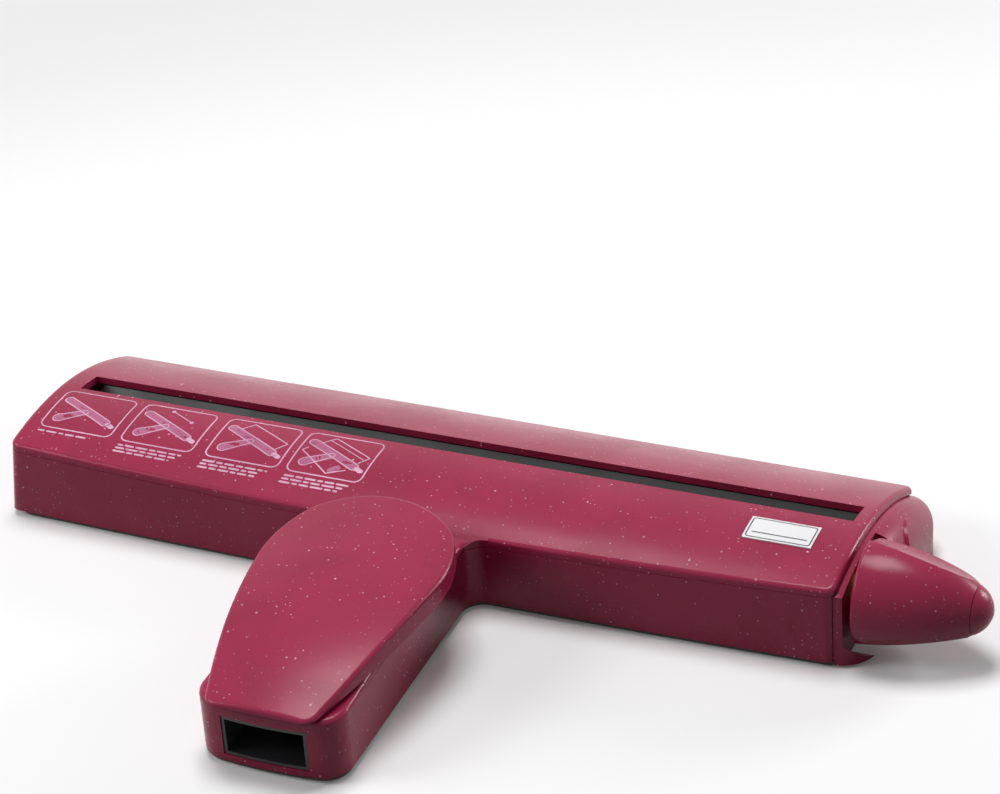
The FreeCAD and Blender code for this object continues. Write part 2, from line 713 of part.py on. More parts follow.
def bush(side, y, z, seat_x, length):
    """Flanged bush whose flange stands on the outer side of its seat."""
    x0, x1 = sorted((side * seat_x, side * (seat_x + length)))
    f0, f1 = sorted((side * (seat_x + length), side * (seat_x + length + BUSH_FLANGE)))
    body = rod_x(BUSH_R, x0, x1, y, z).fuse(rod_x(BUSH_R + BUSH_FLANGE_WALL, f0, f1, y, z))
    return body.removeSplitter().cut(rod_x(BUSH_BORE_R, -FAR, FAR, y, z))


def roller_bushes(y):
    """Pair of bushes of one roller, in the left and right side frames."""
    pair = [bush(side, y, ROLLER_Z, FRAME_X, FRAME_THICKNESS) for side in (-1, 1)]
    return Part.makeCompound(pair)


def polar(x, y, z, radius, degrees):
    """Point on a circle about an axis along X, turned from +Y towards +Z."""
    turn = math.radians(degrees)
    return vec(x, y + radius * math.cos(turn), z + radius * math.sin(turn))


def roller(y, phase):
    """Ridged crimping roller with a ridge centred at phase degrees."""
    x0 = -ROLLER_HALF_LENGTH
    quarter = 90.0 / RIDGES
    middle_r = (RIDGE_TIP_R + RIDGE_ROOT_R) / 2
    edges = []
    for ridge in range(RIDGES):
        centre = phase + 4 * quarter * ridge
        start = polar(x0, y, ROLLER_Z, middle_r, centre - quarter)
        tip = polar(x0, y, ROLLER_Z, RIDGE_TIP_R, centre)
        end = polar(x0, y, ROLLER_Z, middle_r, centre + quarter)
        root = polar(x0, y, ROLLER_Z, RIDGE_ROOT_R, centre + 2 * quarter)
        following = polar(x0, y, ROLLER_Z, middle_r, centre + 3 * quarter)
        edges.append(arc(start, tip, end))
        edges.append(arc(end, root, following))
    barrel = Part.Face(Part.Wire(edges)).extrude(vec(2 * ROLLER_HALF_LENGTH, 0, 0))
    return barrel.cut(rod_x(SHAFT_R, x0 - 1, -x0 + 1, y, ROLLER_Z))


def roller_shaft(y):
    """Steel shaft of a roller, from its clip on the left to its gear on the right."""
    return rod_x(SHAFT_R, -CLIP_X - 2 * CLIP_THICKNESS, GEAR_END_X, y, ROLLER_Z)


def shaft_clip(side, x, y, z):
    """Retaining clip round a shaft, starting at x and standing towards side."""
    x0, x1 = sorted((side * x, side * (x + CLIP_THICKNESS)))
    ring = tube_x(SHAFT_R + CLIP_WALL, SHAFT_R, x0, x1, y, z)
    mouth = box(x0 - 1, x1 + 1, y - SHAFT_R / 2, y + SHAFT_R / 2, z - 2 * SHAFT_R, z)
    return ring.cut(mouth)


def involute(angle):
    """Involute function of an angle in radians."""
    return math.tan(angle) - angle


def gear(teeth, x, y, z, phase):
    """Spur gear on a shaft, with a tooth centred at phase degrees."""
    pitch_r = GEAR_MODULE * teeth / 2
    pressure = math.radians(PRESSURE_ANGLE)
    base_r = pitch_r * math.cos(pressure)
    tip_r = pitch_r + ADDENDUM * GEAR_MODULE
    root_r = pitch_r - DEDENDUM * GEAR_MODULE
    half_pitch = math.pi / (2 * teeth) + involute(pressure) - BACKLASH / (2 * pitch_r)
    start_r = max(root_r, base_r)
    middle_r = (start_r + tip_r) / 2

    def half_at(radius):
        """Half of the tooth's angle at a radius, in degrees."""
        return math.degrees(half_pitch - involute(math.acos(base_r / radius)))

    edges = []
    step = 360.0 / teeth
    for tooth in range(teeth):
        centre = phase + step * tooth

        def at(radius, angle):
            """Point of this tooth."""
            return polar(x, y, z, radius, centre + angle)

        foot = half_at(start_r)
        if root_r < start_r:
            edges.append(line(at(root_r, -foot), at(start_r, -foot)))
        edges.append(arc(at(start_r, -foot), at(middle_r, -half_at(middle_r)), at(tip_r, -half_at(tip_r))))
        edges.append(arc(at(tip_r, -half_at(tip_r)), at(tip_r, 0), at(tip_r, half_at(tip_r))))
        edges.append(arc(at(tip_r, half_at(tip_r)), at(middle_r, half_at(middle_r)), at(start_r, foot)))
        if root_r < start_r:
            edges.append(line(at(start_r, foot), at(root_r, foot)))
        edges.append(arc(at(root_r, foot), at(root_r, step / 2), at(root_r, step - foot)))
    blank = Part.Face(Part.Wire(edges)).extrude(vec(GEAR_FACE, 0, 0))
    return blank.cut(rod_x(SHAFT_R, x - 1, x + GEAR_FACE + 1, y, z))


def pinion_phase():
    """Tooth angle of the pinion that meshes with the front roller's gear at rest."""
    to_pinion = math.degrees(math.atan2(KNOB_RISE, KNOB_Y - FRONT_ROLLER_Y))
    step = 360.0 / ROLLER_TEETH
    past_tooth = to_pinion - step * round(to_pinion / step)
    space = to_pinion + 180.0 + past_tooth * ROLLER_TEETH / PINION_TEETH
    return space + 180.0 / PINION_TEETH


def drive_spindle():
    """Steel spindle of the knob, tapped at its outer end for the knob's screw."""
    rod = rod_x(SHAFT_R, SPINDLE_START_X - CLIP_THICKNESS / 2, SPINDLE_END_X, KNOB_Y, KNOB_Z)
    return rod.cut(rod_x(SCREW_R, SPINDLE_END_X - SCREW_GRIP - 1, SPINDLE_END_X + 1, KNOB_Y, KNOB_Z))


def knob():
    """Bullet-shaped knob with shallow flutes for the fingers."""
    def rim(x, radius):
        """Point of the knob's outline."""
        return vec(x, KNOB_Y, KNOB_Z + radius)

    outline = Part.Wire([
        line(rim(KNOB_X, 0), rim(KNOB_X, KNOB_RIM_R)),
        arc(
            rim(KNOB_X, KNOB_RIM_R),
            rim(KNOB_X + 0.25 * KNOB_RIM, KNOB_R - 0.3 * (KNOB_R - KNOB_RIM_R)),
            rim(KNOB_X + KNOB_RIM, KNOB_R),
        ),
        arc(rim(KNOB_X + KNOB_RIM, KNOB_R), rim(KNOB_X + KNOB_MID, KNOB_MID_R), rim(KNOB_END_X, KNOB_NECK_R)),
        line(rim(KNOB_END_X, KNOB_NECK_R), rim(KNOB_END_X, 0)),
        line(rim(KNOB_END_X, 0), rim(KNOB_X, 0)),
    ])
    body = Part.Face(outline).revolve(vec(KNOB_X, KNOB_Y, KNOB_Z), X_AXIS, 360)
    start = vec(KNOB_X, KNOB_Y, KNOB_Z + KNOB_R - FLUTE_DEPTH)
    end = vec(KNOB_END_X - FLUTE_END, KNOB_Y, KNOB_Z + FLUTE_TAIL_R)
    along = (end - start).normalize()
    outward = vec(-along.z, 0, along.x)
    centre = start + outward * FLUTE_R - along * KNOB_R
    cutter = Part.makeCylinder(FLUTE_R, KNOB_BODY_LENGTH + 2 * KNOB_R, centre, along)
    for flute in range(FLUTES):
        turn = flute * 360.0 / FLUTES - FLUTE_ANGLE
        body = body.cut(cutter.rotated(vec(KNOB_X, KNOB_Y, KNOB_Z), X_AXIS, turn))
    body = body.cut(rod_x(SHAFT_R, KNOB_X - 1, SPINDLE_END_X, KNOB_Y, KNOB_Z))
    body = body.cut(rod_x(SCREW_R + SCREW_GAP, KNOB_X, KNOB_END_X, KNOB_Y, KNOB_Z))
    return body.cut(rod_x(SCREW_HEAD_R + SCREW_GAP, WEB_END_X, KNOB_END_X + 1, KNOB_Y, KNOB_Z))


def knob_nose_cap():
    """Rounded cap that closes the knob's screw hole."""
    start_x = KNOB_END_X + NOSE_GAP
    end_x = start_x + NOSE_LENGTH
    middle_x = start_x + 0.68 * NOSE_LENGTH
    dome = Part.Wire([
        line(vec(start_x, KNOB_Y, KNOB_Z), vec(start_x, KNOB_Y, KNOB_Z + KNOB_NECK_R)),
        arc(
            vec(start_x, KNOB_Y, KNOB_Z + KNOB_NECK_R),
            vec(middle_x, KNOB_Y, KNOB_Z + 0.62 * KNOB_NECK_R),
            vec(end_x, KNOB_Y, KNOB_Z + NOSE_FLAT_R),
        ),
        line(vec(end_x, KNOB_Y, KNOB_Z + NOSE_FLAT_R), vec(end_x, KNOB_Y, KNOB_Z)),
        line(vec(end_x, KNOB_Y, KNOB_Z), vec(start_x, KNOB_Y, KNOB_Z)),
    ])
    cap = Part.Face(dome).revolve(vec(start_x, KNOB_Y, KNOB_Z), X_AXIS, 360)
    stem = rod_x(SCREW_HEAD_R, start_x - NOSE_STEM, start_x + 1, KNOB_Y, KNOB_Z)
    return cap.fuse(stem).removeSplitter()


def knob_screw():
    """Screw that holds the knob on its spindle."""
    head = rod_x(SCREW_HEAD_R, WEB_END_X, WEB_END_X + SCREW_HEAD, KNOB_Y, KNOB_Z)
    shank = rod_x(SCREW_R, SPINDLE_END_X - SCREW_GRIP, WEB_END_X + SCREW_HEAD / 2, KNOB_Y, KNOB_Z)
    slot_x = WEB_END_X + SCREW_HEAD / 2
    slot = box(slot_x, slot_x + SCREW_HEAD, KNOB_Y - FAR, KNOB_Y + FAR, KNOB_Z - 0.3, KNOB_Z + 0.3)
    return head.fuse(shank).cut(slot).removeSplitter()


def cap_loft(inset, start_x, end_x):
    """Domed shape of the right-hand end, drawn in by inset."""
    drop = LID_THICKNESS + PARTING_GAP
    half = CAP_HALF_DEPTH - inset
    top = [
        (-half, CAP_FRONT_Z - inset),
        (FRONT_Y + CREST_BACK, CREST_Z - drop - inset),
        (FRONT_Y + SHOULDER_BACK, SHOULDER_Z - drop - inset),
        (FRONT_Y + HIP_BACK, HIP_Z - drop - inset),
        (half, CAP_REAR_Z - inset),
    ]
    wires = []
    for share in (0.0, 0.45, 0.75, 0.93, 1.0):
        x = start_x + share * (end_x - start_x)
        fall = 1 - math.sqrt(1 - share ** 2)
        narrow = 1 - CAP_NARROWING * fall
        low = 1 - CAP_LOWERING * fall
        over = [vec(x, y * narrow, z * low) for y, z in top]
        foot = vec(x, over[0].y, CAP_FOOT_Z + inset)
        heel = vec(x, over[-1].y, CAP_FOOT_Z + inset)
        wires.append(Part.Wire([
            line(foot, over[0]),
            smooth(over),
            line(over[-1], heel),
            line(heel, foot),
        ]))
    return Part.makeLoft(wires, True, False)


def right_end_cap():
    """Domed end cap with the round pocket behind the knob and an arched boss."""
    dome = cap_loft(0, CAP_X, CAP_END_X)
    hollow = cap_loft(CAP_WALL, CAP_X - 0.01, CAP_END_X - CAP_WALL)
    pocket_r = KNOB_R + CAP_POCKET_GAP
    cup = rod_x(pocket_r + CAP_WALL, CAP_FLOOR_X - CAP_FLOOR, CAP_END_X + 1, KNOB_Y, KNOB_Z)
    boss = rod_x(CAP_BOSS_R, CAP_X, CAP_END_X + CAP_BOSS_PROUD, REAR_ROLLER_Y, ROLLER_Z)
    boss_foot = box(
        CAP_X,
        CAP_END_X + CAP_BOSS_PROUD,
        REAR_ROLLER_Y - CAP_BOSS_R,
        REAR_ROLLER_Y + CAP_BOSS_R,
        CAP_FOOT_Z,
        ROLLER_Z,
    )
    raised = dome.copy()
    raised.translate(vec(CAP_BOSS_PROUD, 0, 0))
    arch = boss.fuse(boss_foot).removeSplitter().common(raised).cut(hollow)
    cap = dome.cut(hollow).fuse(cup.common(dome)).fuse(arch).removeSplitter()
    cap = cap.cut(rod_x(pocket_r, CAP_FLOOR_X, CAP_END_X + KNOB_R, KNOB_Y, KNOB_Z))
    return cap.cut(rod_x(BUSH_R, CAP_X, CAP_END_X, KNOB_Y, KNOB_Z))


def knob_spacer():
    """Dark washer between the end cap's bush and the knob."""
    start = CAP_FLOOR_X + BUSH_FLANGE + SPACER_GAP
    return tube_x(SPACER_R, SHAFT_R, start, KNOB_X, KNOB_Y, KNOB_Z)


def entry_guide(direction):
    """Sloping plate under one edge of the slot: -1 for the front one, 1 for the rear one."""
    edge_y = SLOT_FRONT_Y if direction < 0 else SLOT_REAR_Y
    lip = edge_y + direction * GUIDE_LIP_CLEAR
    tip = NIP_Y + direction * GUIDE_TIP_CLEAR
    drop = 0.0 if direction < 0 else CREST_Z - SHOULDER_Z
    points = [
        (lip, GUIDE_LIP_Z - drop),
        (lip + direction * GUIDE_THICKNESS, GUIDE_LIP_Z - drop),
        (tip + direction * GUIDE_THICKNESS, GUIDE_TIP_Z),
        (tip, GUIDE_TIP_Z),
    ]
    return prism_x(points, -FRAME_X, FRAME_X)


def exit_ramp():
    """Curved strip under the rollers that turns the paper to the rear."""
    x0, x1 = -ROLLER_HALF_LENGTH + FRAME_GAP, ROLLER_HALF_LENGTH - FRAME_GAP
    rise = RAMP_PEAK_RISE - RAMP_LIP
    reach = RAMP_PEAK_LEAD + RAMP_TAIL
    radius = (reach ** 2 + rise ** 2) / (2 * rise)
    half_turn = math.asin(reach / radius) / 2
    floor_y = NIP_Y + RAMP_TAIL
    lip_z = CHANNEL_Z + RAMP_LIP
    toe = vec(x0, NIP_Y - RAMP_TOE_LEAD, CHANNEL_Z)
    peak = vec(x0, NIP_Y - RAMP_PEAK_LEAD, CHANNEL_Z + RAMP_PEAK_RISE)
    belly = vec(x0, floor_y - radius * math.sin(half_turn), lip_z + radius * (1 - math.cos(half_turn)))
    lip = vec(x0, floor_y, lip_z)
    tail = vec(x0, floor_y, CHANNEL_Z)
    outline = Part.Wire([line(toe, peak), arc(peak, belly, lip), line(lip, tail), line(tail, toe)])
    return Part.Face(outline).extrude(vec(x1 - x0, 0, 0))


def lever_plan(inset):
    """Upright prism on the press lever's leaf-shaped plan, drawn in evenly by inset."""
    low, high = HINGE_Z - 2 * LEVER_WALL, 2 * LEVER_TAIL_Z

    def at(half, back, side):
        """Point on the outline, half wide and back in front of the bar."""
        return vec(side * half, FRONT_Y - back, low)

    round_back = (LEVER_WIDEST + LEVER_CORNER) / 2
    left = [
        arc(at(LEVER_FRONT_HALF, LEVER_FRONT, -1), at(LEVER_BEND_HALF, LEVER_BEND, -1),
            at(LEVER_WIDEST_HALF, LEVER_WIDEST, -1)),
        arc(at(LEVER_WIDEST_HALF, LEVER_WIDEST, -1), at(LEVER_ROUND_HALF, round_back, -1),
            at(LEVER_CORNER_HALF, LEVER_CORNER, -1)),
    ]
    right = [
        arc(at(LEVER_CORNER_HALF, LEVER_CORNER, 1), at(LEVER_ROUND_HALF, round_back, 1),
            at(LEVER_WIDEST_HALF, LEVER_WIDEST, 1)),
        arc(at(LEVER_WIDEST_HALF, LEVER_WIDEST, 1), at(LEVER_BEND_HALF, LEVER_BEND, 1),
            at(LEVER_FRONT_HALF, LEVER_FRONT, 1)),
    ]
    tail = arc(
        at(LEVER_CORNER_HALF, LEVER_CORNER, -1),
        at(0, LEVER_TAIL, 1),
        at(LEVER_CORNER_HALF, LEVER_CORNER, 1),
    )
    front = line(at(LEVER_FRONT_HALF, LEVER_FRONT, 1), at(LEVER_FRONT_HALF, LEVER_FRONT, -1))
    outline = Part.Wire(left + [tail] + right + [front])
    leaf = Part.Face(outline)
    if inset > 0:
        leaf = leaf.makeOffset2D(-inset)
    front_half = LEVER_FRONT_HALF - inset
    front_y = LEVER_FRONT_Y + inset
    corner_half = LEVER_CORNER_HALF - 0.75 * inset
    corner_y = FRONT_Y - LEVER_CORNER - 0.7 * inset
    return fillet_upright(leaf.extrude(vec(0, 0, high - low)), [
        (-front_half, front_y, LEVER_FRONT_CORNER_R - inset),
        (front_half, front_y, LEVER_FRONT_CORNER_R - inset),
        (-corner_half, corner_y, LEVER_TAIL_CORNER_R - inset),
        (corner_half, corner_y, LEVER_TAIL_CORNER_R - inset),
    ])


def lever_top(drop):
    """Everything under the press lever's crowned top, lowered by drop."""
    span = 1.2 * LEVER_WIDEST_HALF
    sag = LEVER_CROWN_R - math.sqrt(LEVER_CROWN_R ** 2 - span ** 2)
    slope = (LEVER_BEND_Z - LEVER_FRONT_Z) / (LEVER_FRONT - LEVER_BEND)
    ahead = 4.0
    stations = [
        (LEVER_FRONT + ahead, LEVER_FRONT_Z - ahead * slope),
        (LEVER_FRONT, LEVER_FRONT_Z),
        (LEVER_BEND, LEVER_BEND_Z),
        (LEVER_WIDEST, LEVER_MIDDLE_Z),
        (LEVER_TAIL, LEVER_TAIL_Z),
        (LEVER_TAIL - ahead, LEVER_TAIL_Z),
    ]
    wires = []
    for back, crown_z in stations:
        y = FRONT_Y - back
        z = crown_z - drop
        left = vec(-span, y, z - sag)
        right = vec(span, y, z - sag)
        wires.append(Part.Wire([
            arc(left, vec(0, y, z), right),
            line(right, vec(span, y, 0)),
            line(vec(span, y, 0), vec(-span, y, 0)),
            line(vec(-span, y, 0), left),
        ]))
    return Part.makeLoft(wires, True, False)


def press_lever():
    """Leaf-shaped lever with its hinge lugs, stop hook and spring peg."""
    block = round_rim(lever_plan(0).common(lever_top(0)), LEVER_EDGE_R, HINGE_Z)
    below = prism_x([
        (LEVER_FRONT_Y - 5, LEVER_SKIRT_FRONT_Z),
        (FRONT_Y - LEVER_BEND, LEVER_SKIRT_BEND_Z),
        (LEVER_TAIL_Y + 5, LEVER_SKIRT_TAIL_Z),
        (LEVER_TAIL_Y + 5, 0),
        (LEVER_FRONT_Y - 5, 0),
    ], -FAR, FAR)
    inner = lever_plan(LEVER_WALL).common(lever_top(LEVER_WALL))
    lever = block.cut(below).cut(inner)
    under_skin = lever_top(LEVER_WALL / 2)
    lug_r = HINGE_R + LUG_WALL
    for side in (-1, 1):
        near, far = sorted((side * LUG_X, side * (LUG_X + LUG_WIDTH)))
        lug = box(near, far, HINGE_Y - lug_r, HINGE_Y + lug_r, HINGE_Z, 2 * HINGE_Z).common(under_skin)
        lever = lever.fuse(lug).fuse(rod_x(lug_r, near, far, HINGE_Y, HINGE_Z))
    hook_y = FRONT_Y - HOOK_BACK
    barb_top = deck_height(hook_y) - LID_THICKNESS - HOOK_GAP
    barb_low = barb_top - HOOK_BARB
    stem = box(-HOOK_HALF, HOOK_HALF, hook_y - HOOK_THICKNESS, hook_y, barb_low, 2 * CREST_Z)
    barb = box(-HOOK_HALF, HOOK_HALF, hook_y - HOOK_THICKNESS, hook_y + HOOK_BARB, barb_low, barb_top)
    peg_r = SPRING_R - SPRING_WIRE_R - SPRING_PEG_GAP
    peg = rod_z(peg_r, 0, SPRING_Y, spring_top() - SPRING_PEG, 2 * CREST_Z)
    lever = fuse_all([lever, stem.common(under_skin), barb, peg.common(under_skin)])
    return lever.cut(rod_x(HINGE_R + RUNNING_GAP, -LEVER_WIDEST_HALF, LEVER_WIDEST_HALF, HINGE_Y, HINGE_Z))


def spring_top():
    """Height of the lever's inner side above the spring."""
    share = (LEVER_WIDEST - SPRING_BACK) / (LEVER_WIDEST - LEVER_TAIL)
    crown_z = LEVER_MIDDLE_Z + (LEVER_TAIL_Z - LEVER_MIDDLE_Z) * share
    return crown_z - LEVER_WALL


def lever_hinge_pin():
    """Steel pin that the press lever turns on."""
    return rod_x(HINGE_R, -HINGE_PIN_HALF, HINGE_PIN_HALF, HINGE_Y, HINGE_Z)


def lever_spring():
    """Compression spring between the handle's deck and the press lever, in short straight runs."""
    low = deck_height(SPRING_Y) + SPRING_WIRE_R + SPRING_SEAT_GAP
    high = spring_top() - SPRING_WIRE_R - SPRING_SEAT_GAP
    runs = SPRING_TURNS * SPRING_RUNS_PER_TURN
    path = []
    for run in range(runs + 1):
        turn = 2 * math.pi * run / SPRING_RUNS_PER_TURN
        z = low + (high - low) * run / runs
        path.append(vec(SPRING_R * math.cos(turn), SPRING_Y + SPRING_R * math.sin(turn), z))
    wire = Part.Wire(Part.Circle(path[0], path[1] - path[0], SPRING_WIRE_R).toShape())
    return Part.makePolygon(path).makePipeShell([wire], True, False, MITRED)


def label_plate():
    """Blank curved label on the lid, near its right-hand end."""
    skin = casing_top(-LABEL_THICKNESS - LABEL_SEAT_GAP).cut(casing_top(-LABEL_SEAT_GAP))
    front = FRONT_Y + LABEL_BACK
    half = LABEL_WIDTH / 2
    return skin.common(box(LABEL_X - half, LABEL_X + half, front, front + LABEL_DEPTH, DECK_Z, 2 * CREST_Z))


def sub_parts():
    """Every sub-part of the crimper by its node's name."""
    half_ridge = 180.0 / RIDGES
    half_tooth = 180.0 / ROLLER_TEETH
    return {
        "top_cover": top_cover(),
        "housing": housing(),
        "base_plate": base_plate(),
        "right_end_cap": right_end_cap(),
        "handle_liner": handle_liner(),
        "label_plate": label_plate(),
        "rubber_feet": rubber_feet(),
        "case_screws": case_screws(),
        "frame_screws": frame_screws(),
        "left_side_frame": side_frame(-1),
        "right_side_frame": side_frame(1),
        "front_roller_bushes": roller_bushes(FRONT_ROLLER_Y),
        "rear_roller_bushes": roller_bushes(REAR_ROLLER_Y),
        "spindle_inner_bush": bush(1, KNOB_Y, KNOB_Z, FRAME_X, FRAME_THICKNESS),
        "spindle_outer_bush": bush(1, KNOB_Y, KNOB_Z, CAP_FLOOR_X - CAP_FLOOR, CAP_FLOOR),
        "front_entry_guide": entry_guide(-1),
        "rear_entry_guide": entry_guide(1),
        "exit_ramp": exit_ramp(),
        "front_roller": roller(FRONT_ROLLER_Y, 0),
        "front_roller_shaft": roller_shaft(FRONT_ROLLER_Y),
        "front_roller_gear": gear(ROLLER_TEETH, GEAR_X, FRONT_ROLLER_Y, ROLLER_Z, 0),
        "front_shaft_clip": shaft_clip(-1, CLIP_X, FRONT_ROLLER_Y, ROLLER_Z),
        "rear_roller": roller(REAR_ROLLER_Y, 180 + half_ridge),
        "rear_roller_shaft": roller_shaft(REAR_ROLLER_Y),
        "rear_roller_gear": gear(ROLLER_TEETH, GEAR_X, REAR_ROLLER_Y, ROLLER_Z, 180 + half_tooth),
        "rear_shaft_clip": shaft_clip(-1, CLIP_X, REAR_ROLLER_Y, ROLLER_Z),
        "drive_spindle": drive_spindle(),
        "drive_pinion": gear(PINION_TEETH, GEAR_X, KNOB_Y, KNOB_Z, pinion_phase()),
        "spindle_clip": shaft_clip(1, SPINDLE_START_X, KNOB_Y, KNOB_Z),
        "knob": knob(),
        "knob_nose_cap": knob_nose_cap(),
        "knob_screw": knob_screw(),
        "knob_spacer": knob_spacer(),
        "press_lever": press_lever(),
        "lever_hinge_pin": lever_hinge_pin(),
        "lever_spring": lever_spring(),
    }


def main():
    """Write one STEP file for each sub-part."""
    os.makedirs("parts", exist_ok=True)
    for name, shape in sub_parts().items():
        solids = len(shape.Solids)
        print(f"{name}: {solids} solid(s), valid {shape.isValid()}, {shape.Volume:.1f} mm3")
        if solids == 1:
            shape = shape.Solids[0]
        shape.exportStep(f"parts/{name}.step")


main()
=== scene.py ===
"""Looks of the hand-turned paper crimper: finishes, waved rollers, printed marks, a painted shadow along the
label's edge, light and camera.
"""

from __future__ import annotations

import json
import logging
import math
from dataclasses import dataclass, field
from enum import Enum
from typing import Iterable

import bmesh
import bpy
from mathutils import Matrix, Vector
from mathutils.bvhtree import BVHTree

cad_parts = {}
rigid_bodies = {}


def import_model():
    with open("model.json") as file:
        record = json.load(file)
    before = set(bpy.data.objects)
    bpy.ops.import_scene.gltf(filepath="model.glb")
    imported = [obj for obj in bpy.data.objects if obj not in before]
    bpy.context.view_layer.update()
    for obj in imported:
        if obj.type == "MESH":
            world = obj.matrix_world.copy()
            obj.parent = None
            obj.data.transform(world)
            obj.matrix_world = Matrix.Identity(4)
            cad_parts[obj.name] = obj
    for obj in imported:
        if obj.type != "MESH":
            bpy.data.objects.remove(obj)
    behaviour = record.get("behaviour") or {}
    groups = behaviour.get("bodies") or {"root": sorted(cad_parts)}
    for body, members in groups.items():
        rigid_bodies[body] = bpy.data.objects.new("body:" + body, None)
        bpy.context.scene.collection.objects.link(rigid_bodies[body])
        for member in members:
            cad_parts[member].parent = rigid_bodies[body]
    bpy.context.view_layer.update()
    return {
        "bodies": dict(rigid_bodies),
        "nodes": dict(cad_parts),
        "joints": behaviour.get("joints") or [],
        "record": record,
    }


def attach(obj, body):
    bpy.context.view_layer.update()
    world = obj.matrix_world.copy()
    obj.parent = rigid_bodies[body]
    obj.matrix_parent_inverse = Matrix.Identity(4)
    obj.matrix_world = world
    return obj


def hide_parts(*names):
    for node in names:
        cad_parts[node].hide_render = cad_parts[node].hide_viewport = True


LOG = logging.getLogger("paper_crimper")
MM = 0.001

Colour = tuple[float, float, float]
Point = tuple[float, float]


class Texture(Enum):
    """Names of the texture nodes that the finishes use."""

    NOISE = "ShaderNodeTexNoise"
    VORONOI = "ShaderNodeTexVoronoi"


class Side(Enum):
    """Which roller of the pair a piece belongs to."""

    FRONT = 1
    REAR = -1


class Graph:
    """Short way to add and join the nodes of one shader tree."""

    def __init__(self, tree: bpy.types.NodeTree) -> None:
        """Start from an empty tree.

        Args:
            tree: the node tree of a material, a world or a node group.
        """
        self.tree = tree
        self.column = 0

    def add(self, kind: str, settings: dict[str, object] | None = None, **values: object) -> bpy.types.Node:
        """Add a node.

        Args:
            kind: the node's type name.
            settings: attributes to set on the node.
            values: input sockets to set, by name with underscores for spaces.

        Returns:
            The new node.
        """
        node = self.tree.nodes.new(kind)
        self.column += 1
        node.location = (self.column * 180 - 1200, 0)
        for name, value in (settings or {}).items():
            setattr(node, name, value)
        for name, value in values.items():
            self.feed(node.inputs[name.replace("_", " ")], value)
        return node

    def feed(self, socket: bpy.types.NodeSocket, value: object) -> None:
        """Give a socket a value or a link.

        Args:
            socket: the input socket.
            value: an output socket to link, or a plain value.
        """
        if isinstance(value, bpy.types.NodeSocket):
            self.tree.links.new(value, socket)
        else:
            socket.default_value = value

    def math(self, operation: str, first: object, second: object = 0.0) -> bpy.types.NodeSocket:
        """Join two numbers with a Math node.

        Args:
            operation: the Math node's operation.
            first: first number or socket.
            second: second number or socket.

        Returns:
            The result's socket.
        """
        node = self.add("ShaderNodeMath", {"operation": operation})
        self.feed(node.inputs[0], first)
        self.feed(node.inputs[1], second)
        return node.outputs[0]

    def blend(self, share: object, low: object, high: object) -> bpy.types.NodeSocket:
        """Mix two colours.

        Args:
            share: how much of the second colour shows.
            low: colour or socket at share 0.
            high: colour or socket at share 1.

        Returns:
            The mixed colour's socket.
        """
        node = self.add("ShaderNodeMix", {"data_type": "RGBA"})
        self.feed(node.inputs[0], share)
        self.feed(node.inputs[6], opaque(low))
        self.feed(node.inputs[7], opaque(high))
        return node.outputs[2]

    def ramp(
        self,
        value: object,
        start: float,
        end: float,
        low: float = 0.0,
        high: float = 1.0,
    ) -> bpy.types.NodeSocket:
        """Map a number smoothly from one range to another.

        Args:
            value: number or socket.
            start: input at which the output is low.
            end: input at which the output is high.
            low: output at start.
            high: output at end.

        Returns:
            The mapped number's socket.
        """
        node = self.add("ShaderNodeMapRange", {"interpolation_type": "SMOOTHSTEP"})
        for index, item in enumerate((value, start, end, low, high)):
            self.feed(node.inputs[index], item)
        return node.outputs[0]

    def place(self) -> bpy.types.NodeSocket:
        """Give the place on the object, in metres."""
        return self.add("ShaderNodeTexCoord").outputs["Object"]


def opaque(colour: object) -> object:
    """Give a plain colour its alpha and leave a socket alone."""
    if isinstance(colour, tuple) and len(colour) == 3:
        return (*colour, 1.0)
    return colour


